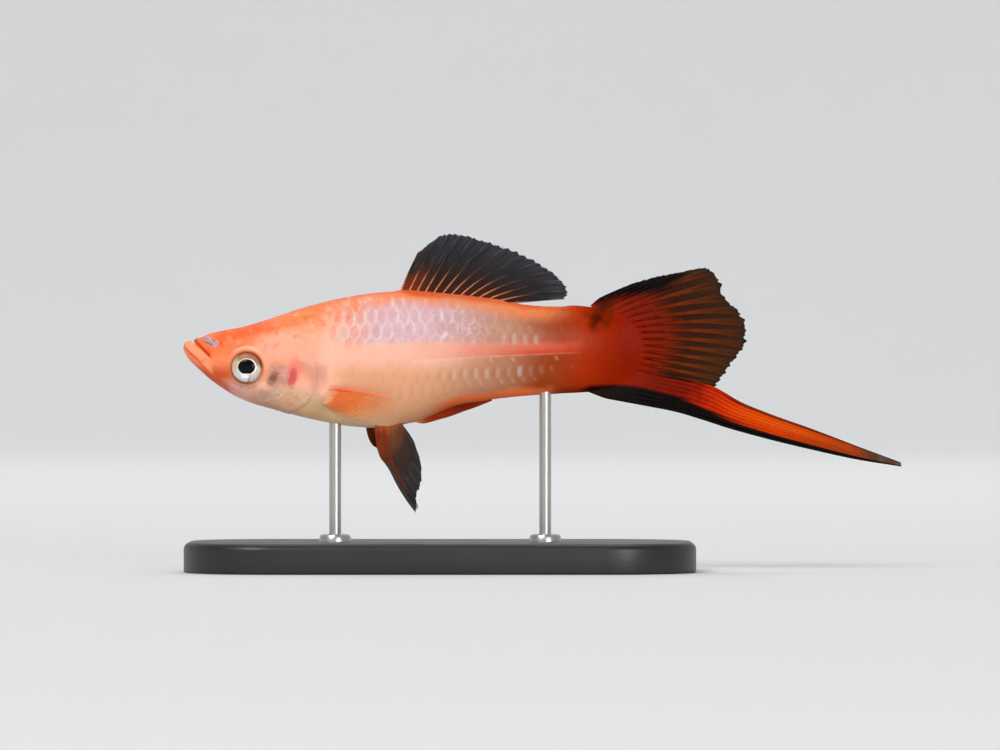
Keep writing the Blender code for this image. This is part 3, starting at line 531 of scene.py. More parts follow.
def mouth_relief(s, h):
    """Lips, the folds behind them and the line of the mouth."""
    away, share = near_path(MOUTH, s, h)
    corner = np.hypot(s - MOUTH[-1][0], h - MOUTH[-1][1])
    here = np.maximum(1 - ease(share, 0.9, 1.0), hill(corner, 0.5)) * ease(s, 0.0, 0.4)
    groove = -0.42 * hill(away, 0.15) * (1 - 0.45 * share)
    lower = np.sqrt(np.clip(1 - ((away + 0.68) / 0.63) ** 2, 0, 1))
    upper = np.sqrt(np.clip(1 - ((away - 0.56) / 0.4) ** 2, 0, 1))
    crease = -0.09 * hill(away + 1.38, 0.12) - 0.05 * hill(away - 1.05, 0.14)
    lips = (0.36 * lower + 0.16 * upper) * (1 - 0.55 * ease(share, 0.4, 1.0))
    return here * (groove + lips + crease)


def eye_relief(s, h):
    """The socket, its rim, and the swelling of the brow above it."""
    away = np.hypot((s - EYE_S) * math.cos(math.radians(EYE_FORWARD)), h - EYE_H)
    socket = -1.3 * (1 - ease(away, EYE_RADIUS - 0.3, EYE_RADIUS - 0.04))
    rim = 0.14 * hill(away - (EYE_RADIUS + 0.14), 0.2)
    groove = -0.05 * hill(away - (EYE_RADIUS + 0.78), 0.2)
    brow = 0.12 * hill(s - EYE_S, 2.2) * hill(h - (EYE_H + 3.1), 0.7)
    cheek = 0.06 * hill(away - (EYE_RADIUS + 1.6), 0.6) * ease(-(h - EYE_H), -0.5, 1.5)
    return socket + rim + groove + brow + cheek


def gill_relief(s, h):
    """The gill cover: its plate, its free rear edge over the slit, and the cheek bone's edge in front of it."""
    away, share = near_path(GILL_SLIT, s, h)
    here = ease(share, 0.02, 0.16)
    cover = 0.08 * ease(-away, 2.4, 0.12) * ease(-away, -0.05, 0.1)
    slit = -0.085 * (1 - 0.5 * ease(share, 0.4, 0.75)) * ease(away, -0.16, 0.2) * (1 - ease(away, 0.25, 1.5))
    throat = 0.014 * np.cos(away * 2 * math.pi / 0.62) * ease(share, 0.6, 0.75) * ease(-away, 0.3, 0.6) \
        * (1 - ease(-away, 1.8, 2.6))
    front, front_share = near_path(COVER_FRONT, s, h)
    edge = (-0.02 * hill(front, 0.3) + 0.03 * hill(front + 0.5, 0.45)) * ease(front_share, 0.02, 0.15)
    edge = edge * (1 - ease(front_share, 0.85, 1.0))
    spread = np.arctan2(h + 1.2, s - 12.6)
    ribs = 0.006 * np.cos(spread * 16) * ease(s, 12.6, 14.0) * ease(-away, 0.4, 1.4) * here
    return here * (cover + slit + throat) + edge + ribs


def pore_relief(s, h):
    """Nostrils, and the sense pits in an arch over the eye."""
    relief = np.zeros(s.shape)
    for pit_s, pit_h in NOSTRILS:
        away = np.hypot(s - pit_s, h - pit_h)
        relief += -0.3 * (1 - ease(away, 0.1, 0.27)) + 0.05 * hill(away - 0.36, 0.13)
    for turn in np.radians([28, 52, 76, 100, 124, 148, 172]):
        pit_s, pit_h = EYE_S - 3.15 * math.cos(turn), EYE_H + 3.0 * math.sin(turn)
        relief -= 0.07 * hill(np.hypot(s - pit_s, h - pit_h), 0.13)
    return relief


def fin_root_relief(s, y, h):
    """Fleshy roots of the fins."""
    root = hill(s - (PECTORAL_S - 0.5), 0.8) * hill(h - PECTORAL_H, 1.2) * (1 - ease(s, 19.2, 20.2))
    ridge_back = 0.24 * hill(y, 0.4) * ease(s, 28.0, 29.2) * (1 - ease(s, 42.0, 43.4)) * ease(h, 3.0, 5.0)
    ridge_belly = 0.16 * hill(y, 0.5) * ease(s, 30.0, 31.0) * (1 - ease(s, 33.5, 36.0)) * ease(-h, 4.0, 6.0)
    pelvic = 0.22 * hill(s - 27.2, 1.3) * hill(np.abs(y) - PELVIC_ROOT_Y, 0.8) * ease(-h, 6.0, 8.0)
    return 0.55 * root + ridge_back + ridge_belly + pelvic


def skin_stations():
    nose = NOSE_LENGTH * (1 - np.cos(np.linspace(0.06, math.pi / 2, NOSE_RINGS)))
    head = np.arange(NOSE_LENGTH + HEAD_STEP, HEAD_END, HEAD_STEP)
    body = np.arange(HEAD_END, SKIN_END, BODY_STEP)
    return np.concatenate([nose, head, body, [SKIN_END]])


def make_skin(material):
    """One skin over head, jaw, gill covers, trunk and tail stalk."""
    stations = skin_stations()
    shares = np.arange(SKIN_SIDES) / SKIN_SIDES
    wrapped = np.concatenate([shares[-2:] - 1, shares, shares[:2] + 1])
    places = over_the_tail(round_the_body(stations, wrapped, SKIN_INSET))
    ways = outward(places)[:, 2:-2]
    places = places[:, 2:-2]
    s, y, h = np.moveaxis(places, -1, 0)
    relief = mouth_relief(s, h) + eye_relief(s, h) + gill_relief(s, h) + pore_relief(s, h)
    relief = relief * ease(np.abs(y), 0.0, 0.25) + mouth_relief(s, h) * (1 - ease(np.abs(y), 0.0, 0.25))
    places = places + ways * (relief + fin_root_relief(s, y, h))[..., None]
    rows, columns = places.shape[:2]
    points = np.concatenate([places.reshape(-1, 3), [places[0].mean(axis=0) - (0.02, 0, 0)]])
    faces = grid_faces(rows, columns, closed=True).tolist()
    pole, last = rows * columns, (rows - 1) * columns
    faces += [[pole, (i + 1) % columns, i] for i in range(columns)]
    half = columns // 2
    for i in range(half):
        mirror = [last + i, last + i + 1, last + (columns - i - 1) % columns, last + (columns - i) % columns]
        faces.append(list(dict.fromkeys(mirror)))
    skin = to_object("skin", settled(points), faces)
    face_outwards(skin)
    share_of = np.concatenate([np.tile(shares, rows), [0.5]])
    length_of = np.concatenate([np.repeat(stations / SKIN_END, columns), [0.0]])
    corner_places(skin, "OFBake", np.column_stack([0.02 + 0.96 * length_of, share_of]))
    layer = skin.data.uv_layers["OFBake"].data
    for polygon in skin.data.polygons:
        corners = [layer[i] for i in polygon.loop_indices]
        if max(c.uv[1] for c in corners) - min(c.uv[1] for c in corners) > 0.6:
            for corner in corners:
                corner.uv[1] += 1.0 if corner.uv[1] < 0.3 else 0.0
    for corner in layer:
        corner.uv[1] = 0.02 + 0.95 * corner.uv[1]
    return finish_piece(skin, material, "body_skin", "head", "lower_jaw", "gill_cover_left", "gill_cover_right",
                        "trunk", "tail_stalk")


# Scales


def scale_plate():
    """One scale, two units long and high: squared in front, rounded behind, tucked in front and turned down
    round its rim. Its height is in millimetres already."""
    steps = np.linspace(-1, 1, 8)
    p, q = np.meshgrid(steps, steps, indexing="ij")
    a = p * np.sqrt(1 - q**2 / 2)
    b = q * np.sqrt(1 - np.maximum(p, 0) ** 2 / 2)
    reach = np.where(a > 0, np.hypot(a, b), np.abs(b))
    top = SCALE_RAMP * a - SCALE_RIM * ease(reach, 0.7, 1.0) - 0.02 * b**2
    low = top - SCALE_THICKNESS * (1 - 0.6 * ease(reach, 0.8, 1.0))
    count = a.size
    points = np.concatenate([np.stack([a, b, z], -1).reshape(-1, 3) for z in (top, low)])
    quads = grid_faces(8, 8)
    rim = list(range(0, 8)) + list(range(15, 64, 8)) + list(range(62, 55, -1)) + list(range(48, 0, -8))
    faces = quads.tolist() + (quads[:, ::-1] + count).tolist()
    faces += [[i, j, j + count, i + count] for i, j in zip(rim, rim[1:] + rim[:1])]
    plate = to_object("scale_plate", points, faces)
    face_outwards(plate)
    plate.data.set_sharp_from_angle(angle=math.radians(50))
    corner_places(plate, "plate", points[:, :2] * 0.5 + 0.5)
    return plate


def body_guide():
    """The body's surface as a sheet whose UV map is its plan: along the fish by the length of the skin, and
    round it from a little before the belly line to a little past it."""
    stations = np.linspace(8.0, SKIN_END, 200)
    shares = np.linspace(-0.2, 1.2, 281)
    places = over_the_tail(round_the_body(stations, shares, SKIN_INSET))
    ways = outward(places)
    places = places + ways * fin_root_relief(*np.moveaxis(places, -1, 0))[..., None]
    guide = to_object("body_guide", settled(places).reshape(-1, 3), grid_faces(*places.shape[:2]))
    u, v = np.meshgrid(stations / SKIN_END, (shares + 0.2) / 1.4, indexing="ij")
    corner_places(guide, "plan", np.column_stack([u.ravel(), v.ravel()]))
    point_values(guide, "outward", ways.reshape(-1, 3), "FLOAT_VECTOR")
    return guide


def scale_coat_tree(material):
    """Scales set on points of the plan, then wrapped onto the body."""
    sizes = {"Plate": "Object", "Guide": "Object", "Half Length": "Float", "Half Height": "Float"}
    tree, start = modifier_tree("scale_coat", sizes)

    def attribute(name, kind):
        return put(tree, "GeometryNodeInputNamedAttribute", {"Name": name}, data_type=kind)

    plate = put(tree, "GeometryNodeObjectInfo", {"Object": start["Plate"]}, output="Geometry")
    guide = put(tree, "GeometryNodeObjectInfo", {"Object": start["Guide"]}, output="Geometry")
    growth = attribute("growth", "FLOAT")
    size = put(tree, "ShaderNodeCombineXYZ", (start["Half Length"] * growth, start["Half Height"], MM))
    inputs = {"Points": start["Geometry"], "Instance": plate, "Scale": size}
    set_out = put(tree, "GeometryNodeInstanceOnPoints", inputs)
    real = put(tree, "GeometryNodeRealizeInstances", (set_out,))
    along, across, lift = put(tree, "GeometryNodeInputPosition").parts()
    plan = put(tree, "ShaderNodeCombineXYZ", (along / (SKIN_END * MM), (across + 0.2) / 1.4, 0.0))
    flat = attribute("plan", "FLOAT_VECTOR")

    def on_body(value):
        inputs = {0: guide, 1: value, 2: flat, 3: plan}
        return put(tree, "GeometryNodeSampleUVSurface", inputs, data_type="FLOAT_VECTOR")

    foot = on_body(put(tree, "GeometryNodeInputPosition"))
    way = on_body(attribute("outward", "FLOAT_VECTOR"))
    rise = put(tree, "ShaderNodeVectorMath", {0: way, 3: lift * attribute("rise", "FLOAT")}, operation="SCALE")
    place = put(tree, "ShaderNodeVectorMath", (foot, rise), operation="ADD")
    mapped = put(tree, "GeometryNodeStoreNamedAttribute", {"Geometry": real, "Name": "OFBake", "Value": plan},
                 data_type="FLOAT2", domain="CORNER")
    wrapped = put(tree, "GeometryNodeSetPosition", {"Geometry": mapped, "Position": place})
    return end_tree(tree, wrapped, material)


def gleam_and_glint_of(row, s):
    """How much of a painted silver gleam bar and of a small painted glint a scale carries. Rows count up from
    mid-flank.
    """
    span, share = SILVER_GLEAM_BARS.get(row, ((0, 1, 2, 3), 0.0))
    bar = share * ease(s, *span[:2]) * (1 - ease(s, *span[2:]))
    span, share = GLINTS.get(row, ((0, 1, 2, 3), 0.0))
    return bar, share * ease(s, *span[:2]) * (1 - ease(s, *span[2:]))


def scale_places():
    """Where each scale sits: s, share of the way round, how much it is grown and lifted, its tone, and how much
    painted silver gleam and painted glint it carries."""
    draw = np.random.default_rng(SEED)
    found = []
    for row in range(SCALE_ROWS):
        share = row / SCALE_ROWS
        for i in range(60):
            s = 10.0 + SCALE_PITCH * (i + 0.5 * (row % 2))
            h = round_the_body([s], [share], 0.0)[0, 0, 2]
            first = float(SCALES_FROM(h))
            if not first < s < SCALES_TO:
                continue
            growth = 0.6 + 0.4 * ease(s, first, first + 3)
            smooth_flank = hill(h + 1.2, 2.6) * (1 - 0.4 * ease(s, 34.0, 42.0))
            rise = (0.32 + 0.34 * ease(s, first, first + 6)) * (1 - 0.6 * smooth_flank)
            rise = max(rise * (1 - 0.8 * ease(s, 43.0, 52.0)), 0.2) * draw.uniform(0.75, 1.25)
            bar, glint = gleam_and_glint_of(SCALE_ROWS // 4 - abs(SCALE_ROWS // 2 - row), s)
            found.append((s, share, growth, rise, draw.uniform(0, 1), bar, glint))
    return np.array(found)


def make_scales(material):
    plate, guide = scale_plate(), body_guide()
    tree = scale_coat_tree(material)
    places = scale_places()
    behind = places[:, 0] > TAIL_SCALES_FROM
    for name, slot, chosen in (("scales_trunk", "body_skin", ~behind), ("scales_tail", "tail_skin", behind)):
        s, share, *others = places[chosen].T
        host = to_object(name + "_roots", np.column_stack([s * MM, share, 0 * s]), [])
        for label, values in zip(("growth", "rise", "tone", "silver", "glint"), others):
            point_values(host, label, values)
        coat = grown(name, host, tree, Plate=plate, Guide=guide, Half_Length=SCALE_LENGTH * MM,
                     Half_Height=1.06 / SCALE_ROWS)
        finish_piece(coat, None, slot)
    for helper in (plate, guide):
        bpy.data.objects.remove(helper, do_unlink=True)


# Eyes


def make_eye(name, side, material):
    """An eyeball turned round its own axis, with the lens standing a little proud of the pupil."""
    outwards = Vector((-math.sin(math.radians(EYE_FORWARD)), side * math.cos(math.radians(EYE_FORWARD)), 0.0))
    turn = outwards.to_track_quat("Z", "X").to_matrix().to_4x4()
    place = Matrix.Translation((EYE_S, side * (float(flank(EYE_S, EYE_H)) - EYE_SINK), EYE_H)) @ turn
    out = np.concatenate([np.linspace(0.02, EYE_RADIUS, 44), EYE_RADIUS * np.cos(np.linspace(0.15, 1.5, 10))])
    dome = EYE_DOME * np.sqrt(np.clip(1 - (out / (EYE_RADIUS * 1.002)) ** 2, 0, 1))
    lens = 0.05 * (1 - ease(out, 0.8, 1.2)) - 0.04 * hill(out - 1.22, 0.12)
    behind = np.arange(len(out)) >= 44
    height = np.where(behind, -1.5 * np.sqrt(np.clip(1 - (out / EYE_RADIUS) ** 2, 0, 1)), dome + lens)
    turns = np.linspace(0, 2 * math.pi, 72, endpoint=False)
    rings = [[(r * math.cos(t), r * math.sin(t), z) for t in turns] for r, z in zip(out, height)]
    points = [tuple(place @ Vector(p)) for ring in rings for p in ring]
    points += [tuple(place @ Vector((0, 0, height[0]))), tuple(place @ Vector((0, 0, height[-1])))]
    faces = grid_faces(len(out), 72, closed=True).tolist()
    first, last = len(points) - 2, len(points) - 1
    final = (len(out) - 1) * 72
    faces += [[first, (i + 1) % 72, i] for i in range(72)]
    faces += [[last, final + i, final + (i + 1) % 72] for i in range(72)]
    ball = to_object(name + "_ball", settled(points), faces)
    face_outwards(ball)
    finish_piece(ball, material, "eye", name)


# Fins


def leaving(root, tip, turn, v):
    """A place on a ray that leaves its root in the direction turn and curves over to its tip."""
    reach = 0.5 * np.linalg.norm(tip - root, axis=-1, keepdims=True)
    way = np.stack([np.cos(np.radians(turn)), np.sin(np.radians(turn))], -1)
    knee = root + reach * way
    v = v[..., None]
    return (1 - v) ** 2 * root + 2 * v * (1 - v) * knee + v * v * tip


def dorsal_place(u, v):
    root_s, tip_s, tip_h, turn = np.moveaxis(Line(DORSAL)(u), -1, 0)
    root = np.stack([root_s, back(root_s) - ROOT_SUNK], -1)
    s, h = np.moveaxis(leaving(root, np.stack([tip_s, tip_h], -1), turn, v), -1, 0)
    return np.stack([s, 0 * s, h], -1)


def fan_place(u, v):
    root_h, tip_s, tip_h, turn = np.moveaxis(Line(FAN)(u), -1, 0)
    root = np.stack([flesh_end(root_h) - ROOT_SUNK, root_h], -1)
    s, h = np.moveaxis(leaving(root, np.stack([tip_s, tip_h], -1), turn, v), -1, 0)
    return np.stack([s, 0 * s, h], -1)


def sword_place(u, v):
    top, foot = Line(SWORD_TOP)(v), Line(SWORD_FOOT)(v)
    s, h = np.moveaxis(top + (foot - top) * u[..., None], -1, 0)
    start = SWORD_TOP[0][1] + (SWORD_FOOT[0][1] - SWORD_TOP[0][1]) * u
    root_h = SWORD_TOP[0][2] + (SWORD_FOOT[0][2] - SWORD_TOP[0][2]) * u
    s = s + np.minimum(flesh_end(root_h) - ROOT_SUNK - start, 0.0) * (1 - v) ** 12
    h = h + FOOT_TUCK * u * (1 - ease(v, 0.0, 0.07))
    return np.stack([s, 0 * s, h], -1)


def pectoral_place(side):
    def place(u, v):
        root_h, tip_s, tip_h, turn = np.moveaxis(Line(PECTORAL)(u), -1, 0)
        root_h = PECTORAL_H + (root_h - PECTORAL_H) * 0.8
        root = np.stack([PECTORAL_S - 1.0 + 0 * root_h, root_h], -1)
        s, h = np.moveaxis(leaving(root, np.stack([tip_s, tip_h], -1), turn, v), -1, 0)
        out = flank(s, h) * (1 - ease(s, 20, 24)) + flank(PECTORAL_S + 0 * root_h, root_h) * ease(s, 20, 24)
        out = out - PECTORAL_SUNK + (PECTORAL_SUNK + PECTORAL_STAND_OFF) * ease(v, 0.0, 0.22)
        out = out + PECTORAL_FLARE * np.maximum(s - PECTORAL_S, 0)
        return np.stack([s, side * out, h], -1)
    return place


def pelvic_place(name):
    side, spread, shift, scale = PELVIC_FINS[name]
    spread = math.radians(spread)

    def place(u, v):
        root_s, tip_s, length, turn = np.moveaxis(Line(PELVIC)(u), -1, 0)
        tip = np.stack([tip_s, length * scale], -1)
        s, drop = np.moveaxis(leaving(np.stack([root_s, 0 * root_s], -1), tip, turn, v), -1, 0)
        s = s - PELVIC_LOBE * np.maximum(1 - 5 * u, 0) / (1 + np.exp((v - PELVIC_LOBE_LENGTH) / 0.035))
        root_h = underside(root_s + shift, PELVIC_ROOT_Y) + ROOT_SUNK * 0.6
        return np.stack([s + shift, side * (PELVIC_ROOT_Y + drop * math.sin(spread)),
                         root_h - drop * math.cos(spread)], -1)
    return place


def gonopodium_place(u, v):
    s, depth = np.moveaxis(Line(GONOPODIUM)(v), -1, 0)
    return np.stack([s, 0 * s, belly(s) + 0.25 - (depth + 0.25) * u], -1)


def sheet_ways(places):
    """Directions square to a thin sheet given as a grid of places."""
    way = np.cross(np.gradient(places, axis=0), np.gradient(places, axis=1))
    return way / np.maximum(np.linalg.norm(way, axis=-1, keepdims=True), 1e-9)


def ragged(u, rays, depth):
    """How far short of the margin a fin's skin stops at u: notched between rays, and torn a little."""
    turn = math.pi * u * (rays - 1)
    torn = 0.5 + 0.5 * np.sin(u * 41.0 + 1.0) * np.sin(u * 97.0)
    return depth * (0.6 * np.abs(np.sin(turn)) ** 1.5 + 0.4 * np.abs(np.sin(2 * turn + 0.6)) + 0.5 * torn)


def make_membrane(name, place, rays, half, material, slot, node, steps=8, rows=30, notch=0.03, ripple=0.05):
    """The skin of a fin between its rays: a closed sheet with a notched margin, rippling from ray to ray."""
    u, v = np.meshgrid(np.linspace(0, 1, (rays - 1) * steps + 1), np.linspace(0, 1, rows), indexing="ij")
    at = place(u, v * (1 - ragged(u, rays, notch)))
    ways = sheet_ways(at)
    at = at + ways * (ripple * np.sin(2 * math.pi * u * (rays - 1)) * ease(v, 0.1, 0.6))[..., None]
    thick = (half[1] + (half[0] - half[1]) * np.exp(-v / 0.13))[..., None] * ways
    count = u.size
    points = np.concatenate([(at + thick).reshape(-1, 3), (at - thick).reshape(-1, 3)])
    quads = grid_faces(*u.shape)
    wide, long = u.shape
    rim = [i * long for i in range(wide)] + [(wide - 1) * long + j for j in range(1, long)]
    rim += [i * long + long - 1 for i in range(wide - 2, -1, -1)] + list(range(long - 2, 0, -1))
    faces = quads.tolist() + (quads[:, ::-1] + count).tolist()
    faces += [[i, j, j + count, i + count] for i, j in zip(rim, rim[1:] + rim[:1])]
    sheet = to_object(name, settled(points), faces)
    face_outwards(sheet)
    point_values(sheet, "across", np.tile(u.ravel(), 2))
    point_values(sheet, "along", np.tile(v.ravel(), 2))
    return finish_piece(sheet, material, slot, node)


def ray_tree(material):
    """Round bars along paths, as thick as each point says, with a fine joint at every step along them."""
    tree, start = modifier_tree("fin_rays", {"Sides": "Int", "Joint Step": "Float", "Joint Depth": "Float"})
    curve = put(tree, "GeometryNodeMeshToCurve", (start["Geometry"],))
    passed = put(tree, "GeometryNodeSplineParameter", output="Length")
    joint = (passed / start["Joint Step"]).maths("PINGPONG", 0.5)
    pinch = 1.0 - start["Joint Depth"] * joint.ease(0.12, 0.0)
    thick = put(tree, "GeometryNodeInputNamedAttribute", {"Name": "thick"}, data_type="FLOAT") * pinch
    profile = put(tree, "GeometryNodeCurvePrimitiveCircle", {"Resolution": start["Sides"], "Radius": 1.0})
    inputs = {"Curve": curve, "Profile Curve": profile, "Scale": thick, "Fill Caps": True}
    bars = put(tree, "GeometryNodeCurveToMesh", inputs)
    return end_tree(tree, bars, material)


def make_rays(name, place, at, radii, material, slot, node, first=0.4, last=0.68, spread=(0.27, 0.13),
              step=0.1, ends=(0.0, 1.0), joint=(0.42, 0.25), forked=True):
    """Fin rays at those shares of the way across. A forked one splits at first, and each half at last."""
    draw = np.random.default_rng(SEED)
    points, edges, thick, across, along = [], [], [], [], []
    room = (at[-1] - at[0]) / max(len(at) - 1, 1)
    for centre in at:
        for near, far in ((-1, -1), (-1, 1), (1, -1), (1, 1)) if forked else ((0, 0),):
            reach = ends[0] + (ends[1] - ends[0]) * (1 - (0.02 + 0.03 * draw.random()) * forked)
            rough = place(np.full(60, centre), np.linspace(ends[0], reach, 60))
            length = np.linalg.norm(np.diff(rough, axis=0), axis=1).sum()
            v = np.linspace(ends[0], reach, max(int(length / step), 8))
            fork = near * spread[0] * ease(v, first, 1.15) + far * spread[1] * ease(v, last, 1.2)
            u = np.clip(centre + room * fork, 0.0, 1.0)
            base = len(points)
            points.extend(settled(place(u, v)).tolist())
            edges.extend((base + i, base + i + 1) for i in range(len(v) - 1))
            thick.extend(np.interp((v - ends[0]) / (ends[1] - ends[0]), *radii) * MM)
            across.extend(u)
            along.extend(v)
    host = to_object(name + "_paths", points, [], edges)
    for label, values in (("thick", thick), ("across", across), ("along", along)):
        point_values(host, label, values)
    bars = grown(name, host, ray_tree(material), Sides=6, Joint_Step=joint[0] * MM, Joint_Depth=joint[1])
    return finish_piece(bars, None, slot, node)


# Finishes


def marking_group():
    """The fish's colours at each place on it, with painted sheen, highlights, shade and fill light among them: the
    same for the skin, the scales and the roots of the fins.
    """
    tree = bpy.data.node_groups.new("fish_markings", "ShaderNodeTree")
    tree.interface.new_socket("Place", in_out="INPUT", socket_type="NodeSocketVector")
    tree.interface.new_socket("Color", in_out="OUTPUT", socket_type="NodeSocketColor")
    place = Value(tree, tree.nodes.new("NodeGroupInput").outputs[0])
    s, h, _ = side_place(place)
    cloud, blotch, grain = noise(tree, place, 5.0), noise(tree, place, 1.5, 3.0), noise(tree, place, 0.35)
    swirl = noise(tree, place, 0.7, 3.0)
    back_h = follow(s, BACK)
    wide, near, close = cloud - 0.5, blotch - 0.5, swirl - 0.5
    s_soft, h_soft = s + wide * 3.5 + near * 1.6, h + wide * 1.4 + near * 0.9
    s_near, h_near = s + near * 0.9 + close * 0.5, h - near * 0.8 + close * 0.5
    under_back = back_h - h_soft

    # Pale lilac over the upper flank: painted sheen.
    colour = mix(PEACH, LILAC_SHEEN, h_soft.ease(0.4, 1.9) * s_soft.ease(18.0, 28.0) * under_back.ease(0.6, 2.0))
    colour = mix(colour, SAND, h_soft.ease(-0.8, -3.6) * s_soft.ease(18.0, 23.0))
    colour = mix(colour, CREAM, h_soft.ease(-5.0, -8.2) * s_soft.ease(27.0, 21.0))
    colour = mix(colour, TAN, s_soft.ease(31.0, 43.0) * h_soft.ease(0.2, 1.6) * 0.9)
    crisp, past_line = s_soft.ease(33.0, 43.0), h - (s - 40.0) * 0.045 + near * 0.3
    under_stripe = past_line.ease(-0.6, -1.1) * crisp + past_line.ease(0.4, -2.6) * (1.0 - crisp)
    colour = mix(colour, TAN, s_soft.ease(32.0, 42.0) * under_stripe * 0.9)
    colour = mix(colour, RUST, s_soft.ease(42.0, 51.0) * h_soft.ease(0.2, 1.4) * 0.9)
    colour = mix(colour, RUST, s_soft.ease(40.0, 49.0) * under_stripe)
    colour = mix(colour, BACK_ORANGE, under_back.ease(2.6, 0.5) * s_soft.ease(57.0, 45.0))
    colour = mix(colour, HOT_ORANGE, under_back.ease(0.9, 0.3) * s_soft.ease(60.0, 50.0) * 0.6)
    colour = mix(colour, BACK_ORANGE, under_back.ease(5.2, 2.4) * s_soft.ease(25.0, 15.0))
    over_belly = h_soft - follow(s, BELLY)
    # Cream belly made paler towards the belly line: the belly's own cream plus painted light on the shaded underside.
    colour = mix(colour, BELLY_CREAM_LIT, over_belly.ease(3.8, 0.8) * s_soft.ease(30.5, 25.0) * s_soft.ease(9.0, 13.0))
    # Orange line along the belly edge, made brighter as painted light on the shaded underside.
    keel_painted_light = over_belly.ease(1.6, 0.5) * s_soft.ease(31.0, 36.0) * s_soft.ease(50.5, 46.0)
    colour = mix(colour, KEEL_ORANGE_LIT, keel_painted_light)
    stripe_h = h - (s - 40.0) * 0.045
    stripe = stripe_h.ease(-0.95, -0.7) * h_soft.ease(1.9, 0.4)
    stripe_colour = mix(SALMON, STRIPE_RED, s_soft.ease(34.0, 50.0))
    colour = mix(colour, stripe_colour, stripe * s_soft.ease(27.0, 41.0) * 0.85)
    colour = mix(colour, STRIPE_RED, stripe * stripe_h.ease(0.3, -0.7) * s_soft.ease(40.0, 47.0) * 0.7)
    colour = mix(colour, TAIL_ORANGE, s_soft.ease(48.0, 54.5))
    colour = mix(colour, TAIL_RED, s_soft.ease(53.0, 60.0))
    colour = mix(colour, DARK_BROWN, over_belly.ease(1.1, 0.1) * s_soft.ease(48.0, 51.0) * 0.5)

    head = s_near.ease(16.5, 9.5)
    colour = mix(colour, HEAD_PEACH, s_near.ease(20.0, 15.5) * h_near.ease(-6.0, -3.0) * under_back.ease(1.0, 3.4))
    colour = mix(colour, HEAD_ORANGE, head * under_back.ease(3.6, 2.0))
    colour = mix(colour, HEAD_ORANGE, s_near.ease(10.0, 6.5) * h_near.ease(-5.2, -3.6) * 0.7)
    colour = mix(colour, HOT_ORANGE, s_near.ease(13.0, 9.5) * s_near.ease(3.6, 5.4) * under_back.ease(2.2, 0.9) * 0.8)
    # Darker orange under the front of the jaw: painted shade.
    colour = mix(colour, CHIN_SHADE, s_near.ease(8.5, 5.5) * h_near.ease(-1.2, -3.2) * 0.85)
    colour = mix(colour, THROAT, s_near.ease(7.5, 10.5) * s_near.ease(18.0, 14.0) * h_near.ease(-4.6, -6.2) * 0.9)
    for at, size, tilt, patch_colour, share in HEAD_PATCHES:
        shape = spot(s_near, h_near, at, size, tilt)
        colour = mix(colour, paint(*patch_colour), shape * share)
    mottled = under_back.ease(6.0, 1.8) * s_near.ease(27.0, 21.0) * s_near.ease(4.5, 7.0)
    mottle = noise(tree, place, 0.95, 2.5)
    colour = mix(colour, HOT_ORANGE, mottle.ease(0.53, 0.68) * mottled * 0.5)
    colour = mix(colour, PALE_PINK_AND_HIGHLIGHT, mottle.ease(0.46, 0.32) * mottled * s_near.ease(10.0, 15.0) * 0.35)
    colour = mix(colour, HEAD_PEACH, mottle.ease(0.46, 0.32) * mottled * s_near.ease(15.0, 10.0) * 0.35)
    veins = noise(tree, place, 0.28, 3.0, 0.7).ease(0.52, 0.66)
    colour = mix(colour, BROWN, veins * spot(s_near, h_near, (12.9, -3.1), (1.0, 1.4), 55) * 0.6)
    cheek = spot(s_near, h_near, (11.8, -5.4), (5.5, 1.7), -10)
    colour = mix(colour, NASAL_PALE, swirl.ease(0.5, 0.66) * cheek * 0.3)
    colour = mix(colour, RUST, mottle.ease(0.56, 0.7) * cheek * 0.22)
    plate_edge = abs(h_near - follow(s, CHEEK_EDGE)).ease(0.32, 0.05) * s.ease(9.6, 10.6) * s.ease(14.2, 13.0)
    colour = mix(colour, PALE_PINK_AND_HIGHLIGHT, plate_edge * swirl.ease(0.3, 0.6) * 0.55)

    long, short = tilted(s_near, h_near, *NASAL_PLACE)
    nasal = ((long / 1.35) ** 2.0 + (short / 0.47) ** 2.0).ease(1.4, 0.7)
    threads = put(tree, "ShaderNodeCombineXYZ", (long * 0.9, short * 5.0, 0.0))
    threads = put(tree, "ShaderNodeTexNoise", {"Vector": threads, "Scale": 1.0, "Detail": 2.0})
    colour = mix(colour, NASAL, nasal * 0.9)
    colour = mix(colour, NASAL_PALE, nasal * threads.ease(0.5, 0.38) * 0.8)
    dark_line = abs(short + 0.34).ease(0.17, 0.04) * long.ease(0.5, -0.2) + threads.ease(0.54, 0.66) * 0.8
    colour = mix(colour, NASAL_DARK, nasal * dark_line * 0.85)

    above_mouth = (s + h * 0.98 - 2.66) * 0.714
    lip = above_mouth.ease(0.06, -0.1) * above_mouth.ease(-1.5, -1.1) * s.ease(4.4, 3.5)
    upper = above_mouth.ease(0.3, 0.5) * above_mouth.ease(1.15, 0.85) * s.ease(4.2, 3.6)
    colour = mix(colour, LIP, lip * 0.9)
    colour = mix(colour, UPPER_LIP, upper * 0.8)
    colour = mix(colour, LIP_TIP, s.ease(0.8, 0.2) * 0.5)
    # A darker orange-red line under the lower lip: painted shade in the crease beneath it.
    colour = mix(colour, HOT_ORANGE, abs(above_mouth + 1.42).ease(0.22, 0.05) * s.ease(3.8, 2.8) * 0.7)
